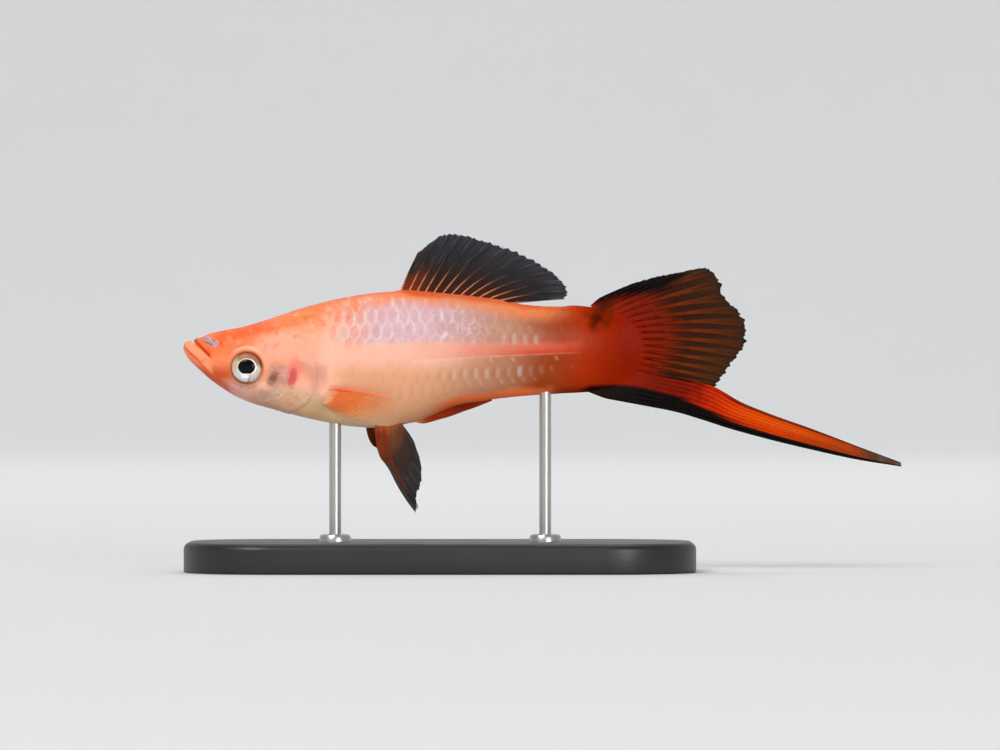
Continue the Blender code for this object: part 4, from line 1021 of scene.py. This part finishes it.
    # Dark orange-brown just above the mouth line: painted shade under the upper lip.
    colour = mix(colour, MOUTH_SHADE, above_mouth.ease(-0.07, 0.05) * above_mouth.ease(0.55, 0.3) * s.ease(3.95, 3.55))
    eye_away = ((s - EYE_S) ** 2.0 + (h - EYE_H) ** 2.0) ** 0.5
    # A darker orange-brown ring round the eye: painted shade in the gap between eyeball and socket rim.
    colour = mix(colour, EYE_GAP_SHADE, eye_away.ease(EYE_RADIUS + 0.4, EYE_RADIUS + 0.05) * 0.8)
    # A pale pink arc over the eye: painted highlight on the brow.
    brow_highlight = abs(eye_away - 2.68).ease(0.26, 0.03) * (h - EYE_H).ease(1.3, 2.6)
    colour = mix(colour, PALE_PINK_AND_HIGHLIGHT, brow_highlight * 0.5)

    saddle = spot(s_soft, h_soft, (55.6, 4.8), (2.3, 1.7), 60) * (0.5 + blotch.ease(0.4, 0.62) * 0.5)
    colour = mix(colour, DARK_BROWN, saddle * 0.9)
    keel = (h + near * 0.5 - follow(s, KEEL_TOP)).ease(0.35, -0.3) * (s + near * 2.0).ease(51.0, 54.5)
    colour = mix(colour, BLACK, keel * 0.96)
    flecks = noise(tree, place, 0.3, 3.0).ease(0.54, 0.7) * s_soft.ease(44.0, 53.0) * under_back.ease(4.2, 0.8)
    colour = mix(colour, DARK_BROWN, flecks * 0.5)
    freckles = noise(tree, place, 0.16, 1.0).ease(0.7, 0.78) * s_near.ease(4.0, 7.0) * s_near.ease(26.0, 14.0)
    colour = mix(colour, RUST, freckles * under_back.ease(4.5, 1.0) * 0.4)

    shade = 0.9 + blotch * 0.1 + grain * 0.08
    toned = put(tree, "ShaderNodeHueSaturation", {"Saturation": 0.96 + cloud * 0.1, "Value": shade,
                                                  "Color": colour})
    tree.links.new(toned.socket, tree.nodes.new("NodeGroupOutput").inputs[0])
    return tree


def marked(tree, place, group):
    node = tree.nodes.new("ShaderNodeGroup")
    node.node_tree = group
    tree.links.new(place.socket, node.inputs["Place"])
    return Value(tree, node.outputs["Color"])


def flesh(shader, s, roughness):
    """What skin and scales share: wet gloss over a little depth, both less on the deep red of the tail."""
    pale = s.ease(60.0, 44.0)
    wire(shader, "Specular IOR Level", 0.015 + pale * 0.075)
    wire(shader, "Subsurface Weight", pale * 0.1)
    shader.inputs["Subsurface Radius"].default_value = (1.0, 0.35, 0.2)
    shader.inputs["Subsurface Scale"].default_value = 0.001
    wire(shader, "Coat Weight", 0.03 + pale * 0.11)
    shader.inputs["Coat IOR"].default_value = 1.32
    shader.inputs["Coat Roughness"].default_value = 0.16
    wire(shader, "Roughness", roughness)


def skin_finish(group):
    material, tree, shader, place = new_material("wet_skin")
    grain, pores = noise(tree, place, 0.5, 3.0), noise(tree, place, 0.16, 2.0)
    wire(shader, "Base Color", marked(tree, place, group))
    flesh(shader, side_place(place)[0], 0.38 + grain * 0.14)
    wire(shader, "Normal", bumped(tree, grain * 0.6 + pores * 0.4, 0.04))
    return material


def scale_finish(group):
    """The fish's colours with a broad pale rim round each scale, a darker middle, and painted silver gleam bars,
    glints and sparkles on them.
    """
    material, tree, shader, place = new_material("scales")
    colour = marked(tree, place, group)
    s, h, _ = side_place(place)
    plate = put(tree, "ShaderNodeUVMap", uv_map="plate").parts()
    a, b = plate[0] * 2.0 - 1.0, plate[1] * 2.0 - 1.0
    tone = by_place(tree, "tone")
    cloud, ragged_edge = noise(tree, place, 2.4, 3.0), noise(tree, place, 0.4, 2.0)
    patch = noise(tree, place, 1.1, 2.0)
    wobble = (ragged_edge - 0.5) * 0.6
    middle = (((a - 0.36) / 0.42) ** 2.0 + (b / 0.66) ** 2.0 + wobble).ease(1.7, 0.1)
    rim = (1.0 - middle) * cloud.ease(0.38, 0.62)
    under_back = follow(s, BACK) - h
    upper = h.ease(0.2, 1.6) * s.ease(17.5, 23.0) * under_back.ease(0.5, 1.4) * s.ease(47.0, 33.0)
    nape = under_back.ease(4.4, 2.2) * s.ease(31.0, 24.0) * s.ease(14.0, 20.0)
    silver, glint = by_place(tree, "silver"), by_place(tree, "glint")
    colour = mix(colour, SCALE_GREY, middle * upper * (patch.ease(0.35, 0.65) * 0.3 + tone * 0.12))
    colour = mix(colour, SCALE_WHITE, rim * upper * s.ease(17.0, 28.0) * (0.1 + tone * 0.4))
    colour = mix(colour, SCALE_WHITE, patch.ease(0.54, 0.68) * upper * 0.25)
    colour = mix(colour, HEAD_ORANGE, middle * nape * (0.1 + tone * 0.45))
    colour = mix(colour, SCALE_YELLOW, rim * nape * (0.05 + tone * 0.25))
    shoulder = s.ease(30.0, 22.0) * s.ease(17.0, 21.0) * h.ease(-1.0, 1.6) * under_back.ease(0.3, 1.2)
    colour = mix(colour, HEAD_ORANGE, tone.ease(0.55, 0.9) * middle * shoulder * 0.3)
    colour = mix(colour, SCALE_WHITE, tone.ease(0.4, 0.1) * cloud.ease(0.35, 0.6) * shoulder * 0.35)
    colour = mix(colour, SCALE_BROWN, abs(a - 0.12).ease(0.36, 0.1) * silver * 0.2)
    # Silver bars on the scales: painted gleams.
    bar = (abs(a - 0.52 - b * b * 0.2) + wobble * 0.25).ease(0.34, 0.04) * abs(b).ease(0.66, 0.2)
    colour = mix(colour, SILVER_GLEAM, bar * silver * (0.18 + tone * 0.4))
    # Small yellow dots on the scales: painted glints.
    glint_dot = (abs(a - 0.5 + b * 0.5) + wobble * 0.2).ease(0.24, 0.02) * abs(b - 0.2).ease(0.4, 0.05)
    colour = mix(colour, SCALE_YELLOW, glint_dot * glint * tone.ease(0.2, 0.9) * 0.28)
    # White flecks on the upper flank and silver scales: painted sparkle.
    painted_sparkle = ragged_edge.ease(0.64, 0.72) * tone.ease(0.6, 0.9) * (upper + silver)
    colour = mix(colour, SCALE_WHITE, painted_sparkle * 0.45)
    wire(shader, "Base Color", colour)
    growth = ((a ** 2.0 + b ** 2.0) ** 0.5 * 26.0).maths("SINE") * 0.5 + 0.5
    flesh(shader, s, 0.34 + ragged_edge * 0.14)
    wire(shader, "Normal", bumped(tree, growth * 0.5 + ragged_edge * 0.5, 0.012))
    return material


def eye_finish():
    """Black pupil in a pale ring, a silver iris that turns olive above and gold behind, and a brown upper edge, with a
    painted socket shadow at its front edge and painted highlights below the pupil.
    """
    material, tree, shader, place = new_material("eye")
    s, h, _ = side_place(place)
    across, up = s - EYE_S + 0.03, h - EYE_H - 0.08
    away = (across ** 2.0 + up ** 2.0) ** 0.5
    turn = up.maths("ARCTAN2", across)
    wavy, fine = noise(tree, place, 0.5, 3.0), noise(tree, place, 0.12, 2.0)
    threads = ((turn * 40.0 + wavy * 16.0).maths("SINE") * 0.5 + 0.5) * 0.5 + wavy * 0.5
    top = (up + across * 0.25).ease(0.05, 0.95)
    iris = mix(paint(226, 220, 212), paint(172, 162, 148), threads * 0.8)
    iris = mix(iris, paint(216, 168, 100), across.ease(1.2, 1.9) * away.ease(1.6, 1.95) * 0.8)
    iris = mix(iris, paint(98, 80, 48), top * (threads * 0.25 + 0.7))
    iris = mix(iris, paint(190, 102, 62), (up + across * 0.3).ease(0.8, 1.4) * away.ease(1.25, 1.65) * 0.85)
    iris = mix(iris, paint(102, 58, 32), top * (away + wavy * 0.3).ease(1.85, 2.15) * 0.9)
    iris = mix(iris, paint(196, 170, 146), across.ease(-0.9, -1.5) * up.ease(-0.9, 0.1) * 0.7)
    # Dark brown round the front edge of the iris: painted shadow of the socket.
    iris = mix(iris, paint(140, 78, 40), (away + (wavy - 0.5) * 0.12).ease(1.9, 2.06) * across.ease(0.9, 0.1) * 0.85)
    # A bluish-white and a white spot below the pupil: painted highlights.
    iris = mix(iris, paint(204, 214, 236), spot(across, up, (-0.65, -1.5), (0.75, 0.3), -30) * 0.7)
    iris = mix(iris, paint(255, 252, 246), spot(across, up, (-0.2, -1.2), (0.55, 0.3), -8) * 0.95)
    iris = mix(iris, paint(96, 84, 80), spot(across, up, (0.32, -1.6), (0.5, 0.07), 68) * 0.7)
    round_edge = ((across / 1.13) ** 2.0 + (up / 1.0) ** 2.0) ** 0.5
    inside = round_edge.maths("MAXIMUM", up * -1.1) + (wavy - 0.5) * 0.06
    ring = mix(paint(252, 248, 240), paint(234, 196, 142), (up - across * 0.8).ease(-0.2, 1.0))
    iris = mix(iris, ring, abs(inside - 1.08 + (fine - 0.5) * 0.06).ease(0.15, 0.04) * 0.9)
    pupil = inside.ease(1.03, 0.97)
    iris = mix(iris, paint(2, 3, 5), pupil)
    wire(shader, "Base Color", iris)
    wire(shader, "Metallic", (1.0 - pupil) * 0.15)
    wire(shader, "Roughness", 0.32 + pupil * -0.1)
    shader.inputs["Specular IOR Level"].default_value = 0.08
    shader.inputs["Coat Weight"].default_value = 0.9
    shader.inputs["Coat Roughness"].default_value = 0.04
    shader.inputs["Coat IOR"].default_value = 1.2
    wire(shader, "Normal", bumped(tree, threads * (1.0 - pupil), 0.03))
    return material


def by_place(tree, name):
    return put(tree, "ShaderNodeAttribute", output="Fac", attribute_name=name)


def fading(tree, value, stops):
    """A colour that runs through the stops (value, colour)."""
    ramp = put(tree, "ShaderNodeValToRGB", (value,)).socket.node
    while len(ramp.color_ramp.elements) < len(stops):
        ramp.color_ramp.elements.new(0.5)
    for element, (at, colour) in zip(ramp.color_ramp.elements, stops):
        element.position, element.color = at, paint(*colour)
    ramp.color_ramp.interpolation = "EASE"
    return Value(tree, ramp.outputs[0])


def fin_finish(name, stops, clear=(1.0, 1.0), edge=None, group=None, flesh_until=0.0, streaks=0.0, ray=False):
    """A fin's skin or rays: their colours from root to margin, how solid they are there, and the fish's own
    colours over their roots."""
    material, tree, shader, place = new_material(name)
    along, across = by_place(tree, "along"), by_place(tree, "across")
    cloud, fine = noise(tree, place, 1.8, 3.0), noise(tree, place, 0.3, 2.0)
    reach = along + (cloud - 0.5) * 0.2
    colour = fading(tree, reach, stops)
    if streaks:
        # Pale grey streaks along the rays: painted sheen.
        lines = put(tree, "ShaderNodeCombineXYZ", (across * 60.0, along * 2.5, 0.0))
        lines = put(tree, "ShaderNodeTexNoise", {"Vector": lines, "Scale": 1.0, "Detail": 2.0})
        colour = mix(colour, SMOKE_SHEEN, lines.ease(0.52, 0.75) * along.ease(0.3, 0.7) * streaks)
    if edge:
        colour = edge(colour, along, across, cloud)
    colour = mix(colour, BLACK, fine.ease(0.5, 0.85) * 0.2)
    if group:
        colour = mix(marked(tree, place, group), colour, (along + (fine - 0.5) * 0.12).ease(*flesh_until))
    wire(shader, "Base Color", colour)
    if clear != (1.0, 1.0):
        solid = reach.maths("MULTIPLY_ADD", clear[1] - clear[0])
        solid.socket.node.inputs[2].default_value = clear[0]
        wire(shader, "Alpha", solid - fine * 0.06)
    shader.inputs["Specular IOR Level"].default_value = 0.045
    shader.inputs["Roughness"].default_value = 0.36 if ray else 0.44
    shader.inputs["Coat Weight"].default_value = 0.03
    wire(shader, "Normal", bumped(tree, fine * 0.6 + cloud * 0.4, 0.012 if ray else 0.03))
    return material


def dorsal_edge(colour, along, across, cloud):
    """Orange between the first rays, fading up the fin and back along it."""
    front = across.ease(0.3, 0.02) * (along + (cloud - 0.5) * 0.4).ease(0.6, 0.05)
    return mix(colour, paint(160, 62, 22), front * 0.5)


def dorsal_spine(colour, along, across, cloud):
    """The pale orange front spine, which shows at its foot and again near its tip."""
    shown = along.ease(0.55, 0.3) + along.ease(0.66, 0.8)
    return mix(colour, paint(242, 150, 100), across.ease(0.03, 0.012) * shown * 0.85)


def fan_edge(colour, along, across, cloud):
    """The clear black front corner of the tail fin."""
    limit = follow(along, FAN_CORNER)
    colour = mix(colour, BLACK, across.ease(0.985, 1.0) * along.ease(0.3, 0.6) * 0.8)
    return mix(colour, BLACK, (across - limit + (cloud - 0.5) * 0.05).ease(0.03, -0.02))


def sword_edge(colour, along, across, cloud):
    """Yellow-orange along the sword's middle, and black along its lower edge."""
    middle = abs(across - 0.3).ease(0.3, 0.05) * along.ease(0.28, 0.5) * along.ease(0.9, 0.6)
    colour = mix(colour, paint(228, 92, 10), middle * 0.6)
    colour = mix(colour, BLACK, (across + cloud * 0.03).ease(0.05, 0.01) * along.ease(0.3, 0.4) * 0.7)
    return mix(colour, BLACK, (across - follow(along, SWORD_KEEL)).ease(-0.04, 0.05))


def make_fins(group):
    rays = np.linspace(0, 1, 13)
    dorsal_skin = fin_finish("dorsal_membrane", [(0.0, (150, 50, 20)), (0.1, (66, 28, 14)), (0.3, (42, 26, 20)),
                                                 (0.6, (32, 28, 30)), (1.0, (38, 36, 42))], (1.0, 0.86), dorsal_edge,
                             streaks=0.3)
    dorsal_rays = fin_finish("dorsal_rays", [(0.0, (255, 190, 146)), (0.25, (226, 140, 100)), (0.45, (104, 62, 46)),
                                             (0.65, (50, 44, 46)), (1.0, (84, 82, 92))], edge=dorsal_spine, ray=True)
    make_membrane("dorsal_membrane", dorsal_place, 25, (0.14, 0.05), dorsal_skin, "dark_fin", "dorsal_fin", steps=6,
                  notch=0.04)
    make_rays("dorsal_rays", dorsal_place, rays, ([0, 0.4, 0.6, 1], [0.16, 0.1, 0.07, 0.045]), dorsal_rays,
              "dark_fin", "dorsal_fin")

    rays = np.concatenate([np.linspace(0, 0.16, 5), np.linspace(0.235, 1, 12)])
    fan_skin = fin_finish("fan_membrane", [(0.0, (134, 24, 0)), (0.34, (112, 22, 0)), (0.54, (54, 18, 2)),
                                           (0.7, (46, 20, 5)), (0.86, (52, 25, 7)), (1.0, (44, 30, 20))],
                          (1.0, 0.96), fan_edge, group, (0.1, 0.56))
    fan_rays = fin_finish("fan_rays", [(0.0, (142, 28, 0)), (0.34, (132, 34, 0)), (0.55, (110, 42, 3)),
                                       (0.85, (78, 36, 8)), (1.0, (54, 36, 22))], (1.0, 1.0), fan_edge, group,
                          (0.1, 0.5), ray=True)
    make_membrane("fan_membrane", fan_place, 17, (0.12, 0.05), fan_skin, "tail_fin", "tail_fan")
    make_rays("fan_rays", fan_place, rays, ([0, 0.1, 0.4, 0.6, 1], [0.08, 0.12, 0.27, 0.24, 0.17]), fan_rays,
              "tail_fin", "tail_fan", first=0.36, last=0.58, spread=(0.26, 0.15))

    sword_skin = fin_finish("sword_membrane", [(0.0, (134, 24, 0)), (0.2, (108, 16, 0)), (0.36, (186, 34, 0)),
                                               (0.5, (196, 52, 0)), (0.8, (152, 50, 6)), (0.94, (88, 50, 28)),
                                               (1.0, (84, 76, 76))], (1.0, 0.99), sword_edge, group, (0.04, 0.12))
    sword_rays = fin_finish("sword_rays", [(0.0, (134, 24, 0)), (0.2, (126, 20, 0)), (0.36, (202, 44, 0)),
                                           (0.5, (210, 60, 0)), (0.8, (168, 58, 8)), (0.94, (94, 56, 32)),
                                           (1.0, (90, 82, 82))], (1.0, 1.0), sword_edge, group, (0.04, 0.12), ray=True)
    make_membrane("sword_membrane", sword_place, 6, (0.14, 0.06), sword_skin, "tail_fin", "tail_sword", rows=90,
                  notch=0.0, ripple=0.03)
    make_rays("sword_rays", sword_place, np.linspace(0, 1, 9), ([0, 0.06, 0.2, 0.4, 1], [0.08, 0.1, 0.22, 0.26, 0.08]),
              sword_rays, "tail_fin", "tail_sword", joint=(0.6, 0.15), forked=False)

    clear_skin = fin_finish("pectoral_membrane", [(0.0, (255, 124, 62)), (0.45, (255, 134, 66)),
                                                  (1.0, (250, 170, 108))], (1.15, 0.02), group=group,
                            flesh_until=(0.1, 0.26))
    clear_rays = fin_finish("pectoral_rays", [(0.0, (255, 130, 72)), (0.4, (244, 136, 80)),
                                              (1.0, (206, 140, 98))], group=group, flesh_until=(0.1, 0.3), ray=True)
    front_ray = fin_finish("pectoral_front_ray", [(0.0, (250, 92, 52)), (0.6, (252, 122, 78)),
                                                  (1.0, (236, 156, 114))], group=group, flesh_until=(0.08, 0.26),
                           ray=True)
    thick_rays = fin_finish("pelvic_front_rays", [(0.0, (196, 86, 40)), (0.14, (134, 50, 18)), (0.4, (104, 44, 22)),
                                                  (0.7, (80, 44, 32)), (0.88, (50, 42, 40)), (1.0, (40, 38, 38))],
                            ray=True)
    thin_rays = fin_finish("pelvic_rays", [(0.0, (216, 118, 72)), (0.25, (112, 72, 52)), (0.6, (60, 52, 48)),
                                           (1.0, (40, 38, 38))], ray=True)
    smoky = fin_finish("pelvic_membrane", [(0.0, (200, 106, 60)), (0.2, (112, 66, 44)), (0.5, (58, 44, 38)),
                                           (1.0, (30, 28, 29))], (0.95, 0.86), streaks=0.2)
    rays = np.linspace(0, 1, 11)
    for name, side in (("left", LEFT), ("right", RIGHT)):
        place, node = pectoral_place(side), f"pectoral_fin_{name}"
        make_membrane(f"pectoral_membrane_{name}", place, 11, (0.07, 0.03), clear_skin, "clear_fin", node, steps=4)
        make_rays(f"pectoral_rays_{name}", place, rays[1:], ([0, 1], [0.065, 0.025]), clear_rays, "clear_fin", node,
                  first=0.55, last=0.78)
        make_rays(f"pectoral_front_ray_{name}", place, [0.0, 0.045], ([0, 0.3, 1], [0.17, 0.15, 0.05]), front_ray,
                  "clear_fin", node, forked=False)
        place, node = pelvic_place(name), f"pelvic_fin_{name}"
        make_membrane(f"pelvic_membrane_{name}", place, 9, (0.12, 0.05), smoky, "dark_fin", node, steps=5)
        make_rays(f"pelvic_lobe_{name}", place, [0.02, 0.08], ([0, 0.55, 0.85, 1], [0.22, 0.3, 0.25, 0.08]),
                  thick_rays, "dark_fin", node, ends=(0.0, PELVIC_LOBE_LENGTH), forked=False)
        make_rays(f"pelvic_long_ray_{name}", place, [0.17, 0.22], ([0, 0.6, 1], [0.19, 0.18, 0.06]), thick_rays,
                  "dark_fin", node, forked=False)
        make_rays(f"pelvic_rays_{name}", place, np.linspace(0.34, 1, 6), ([0, 0.4, 1], [0.14, 0.07, 0.03]),
                  thin_rays, "dark_fin", node)

    blade = fin_finish("gonopodium", [(0.0, (226, 120, 70)), (0.25, (160, 54, 18)), (0.7, (128, 34, 8)),
                                      (1.0, (150, 46, 14))])
    make_membrane("gonopodium_blade", gonopodium_place, 3, (0.3, 0.1), blade, "tail_fin", "gonopodium", rows=60,
                  notch=0.0, ripple=0.0)
    make_rays("gonopodium_rays", gonopodium_place, [0.55, 0.98], ([0, 0.15, 0.7, 1], [0.05, 0.24, 0.2, 0.05]), blade,
              "tail_fin", "gonopodium", forked=False)


# Stand


def base_finish():
    material, tree, shader, place = new_material("satin_black")
    fine, wide = noise(tree, place, 0.3, 2.0), noise(tree, place, 6.0, 3.0)
    wire(shader, "Base Color", mix(paint(26, 26, 28), paint(36, 36, 38), wide))
    wire(shader, "Roughness", 0.34 + wide * 0.1)
    wire(shader, "Normal", bumped(tree, fine, 0.015))
    return material


def steel_finish():
    material, tree, shader, place = new_material("satin_steel")
    x, y, z = place.parts()
    streaks = put(tree, "ShaderNodeCombineXYZ", (x, y, z * 30.0))
    brushed = put(tree, "ShaderNodeTexNoise", {"Vector": streaks, "Scale": 1400.0, "Detail": 2.0})
    shader.inputs["Metallic"].default_value = 1.0
    wire(shader, "Base Color", mix(paint(178, 176, 172), paint(206, 204, 200), brushed))
    wire(shader, "Roughness", 0.24 + brushed * 0.14)
    return material


def turned(name, profile, x, y, sides=64):
    """A piece turned on a lathe from a profile of (radius, height), upright at x and y."""
    turns = np.linspace(0, 2 * math.pi, sides, endpoint=False)
    points = [(x + r * math.cos(t), y + r * math.sin(t), z) for r, z in profile for t in turns]
    faces = grid_faces(len(profile), sides, closed=True).tolist()
    faces += [list(range(sides)), [(len(profile) - 1) * sides + i for i in range(sides)]]
    made = to_object(name, np.array(points) * MM, faces)
    face_outwards(made)
    made.data.shade_smooth()
    made.data.set_sharp_from_angle(angle=math.radians(40))
    return made


def make_stand():
    black, steel = base_finish(), steel_finish()
    shell = bmesh.new()
    bmesh.ops.create_cube(shell, size=1.0)
    bmesh.ops.scale(shell, verts=shell.verts, vec=(BASE_LENGTH * MM, BASE_WIDTH * MM, BASE_HEIGHT * MM))
    bmesh.ops.translate(shell, verts=shell.verts, vec=(0.0, 0.0, 0.5 * BASE_HEIGHT * MM))
    corners = [e for e in shell.edges if abs(e.verts[0].co.z - e.verts[1].co.z) > 0.5 * MM]
    bmesh.ops.bevel(shell, geom=corners, offset=BASE_CORNER * MM, segments=24, profile=0.5, affect="EDGES")
    for height, width, segments in ((BASE_HEIGHT, BASE_BEVEL, 8), (0.0, 0.3, 3)):
        rim = [e for e in shell.edges if all(abs(v.co.z - height * MM) < 1e-6 for v in e.verts)]
        bmesh.ops.bevel(shell, geom=rim, offset=width * MM, segments=segments, profile=0.5, affect="EDGES")
    base = to_object("stand_plate", [], [])
    shell.to_mesh(base.data)
    shell.free()
    face_outwards(base)
    finish_piece(base, black, "stand_base", "stand_base")
    base.data.set_sharp_from_angle(angle=math.radians(40))
    for name, x in ROD_X.items():
        y, foot = float(bend(x - NOSE_X)), BASE_HEIGHT
        top = AXIS_Z + float(belly(x - NOSE_X)) + ROD_SINK
        rod = turned("stand_steel_rod_" + name, [(ROD_RADIUS, foot - 1.5), (ROD_RADIUS, top - 0.1),
                                                 (ROD_RADIUS - 0.1, top)], x, y, 48)
        rod.data.materials.append(steel)
        collar = turned("stand_collar_" + name, [
            (COLLAR_RADIUS, foot - 0.2), (COLLAR_RADIUS, foot + 0.55), (COLLAR_RADIUS - 0.15, foot + 0.85),
            (COLLAR_RADIUS - 0.5, foot + COLLAR_HEIGHT), (ROD_RADIUS + 0.05, foot + COLLAR_HEIGHT),
            (ROD_RADIUS + 0.05, foot - 0.2)], x, y)
        collar.data.materials.append(steel)
        for piece, slot, nodes in ((rod, "stand_rod", ["stand_rod_" + name]), (collar, "stand_rod", [])):
            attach(piece, "root")
            if nodes:
                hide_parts(*nodes)


# Stage, light and camera


def add_stage():
    """A pale floor that curves up into a wall all the way round, far from the model."""
    profile = [(0.0, 0.0), (0.4, 0.0), (1.0, 0.0), (1.6, 0.0)]
    profile += [(1.6 + 1.4 * math.sin(t), 1.4 - 1.4 * math.cos(t)) for t in np.linspace(0.1, math.pi / 2, 14)]
    profile += [(3.0, 2.6)]
    turns = np.linspace(0, 2 * math.pi, 96, endpoint=False)
    points = [(r * math.cos(t), r * math.sin(t), z) for r, z in profile[1:] for t in turns] + [(0, 0, 0)]
    faces = grid_faces(len(profile) - 1, 96, closed=True).tolist()
    faces += [[len(points) - 1, i, (i + 1) % 96] for i in range(96)]
    floor = to_object("pale_floor", points, faces)
    floor.data.shade_smooth()
    material, tree, shader, place = new_material("pale_floor")
    soft = noise(tree, place, 400.0, 2.0)
    wire(shader, "Base Color", mix(paint(222, 223, 225), paint(228, 228, 228), soft))
    shader.inputs["Roughness"].default_value = 0.8
    floor.data.materials.append(material)


def add_light(name, place, size, power, aim=(0.005, 0.0, 0.028), colour=(1.0, 1.0, 1.0)):
    data = bpy.data.lights.new(name, "AREA")
    data.size, data.energy, data.color = size, power, colour
    lamp = bpy.data.objects.new(name, data)
    bpy.context.scene.collection.objects.link(lamp)
    lamp.location = place
    lamp.rotation_euler = (Vector(aim) - lamp.location).to_track_quat("-Z", "Y").to_euler()
    lamp.visible_camera = False


def add_lights():
    add_light("key", (-0.9, -1.4, 1.4), 0.9, 25.0, colour=(1.0, 0.985, 0.96))
    add_light("low_front", (0.8, -1.7, 0.32), 0.6, 11.0, colour=(1.0, 0.99, 0.98))
    add_light("top", (0.1, 0.9, 1.8), 1.0, 11.0)
    add_light("backdrop", (0.0, 0.9, 1.9), 1.6, 15.0, aim=(0.0, 3.0, 0.5))
    world = bpy.data.worlds.new("studio")
    bpy.context.scene.world = world
    world.use_nodes = True
    world.node_tree.nodes["Background"].inputs["Color"].default_value = (0.96, 0.98, 1.0, 1.0)
    world.node_tree.nodes["Background"].inputs["Strength"].default_value = 0.28


def add_camera():
    data = bpy.data.cameras.new("camera")
    data.sensor_width = SENSOR
    data.lens = SENSOR * VIEW_DISTANCE / VIEW_WIDTH
    data.clip_start, data.clip_end = 0.01, 20.0
    camera = bpy.data.objects.new("camera", data)
    bpy.context.scene.collection.objects.link(camera)
    camera.location = Vector((VIEW_MIDDLE[0], -VIEW_DISTANCE, VIEW_MIDDLE[1])) * MM
    camera.rotation_euler = (math.pi / 2, 0.0, 0.0)
    bpy.context.scene.camera = camera


bpy.context.scene.view_settings.view_transform = "Standard"
add_camera()
add_lights()
add_stage()
markings = marking_group()
make_skin(skin_finish(markings))
make_scales(scale_finish(markings))
eye_look = eye_finish()
make_eye("eye_left", LEFT, eye_look)
make_eye("eye_right", RIGHT, eye_look)
make_fins(markings)
make_stand()
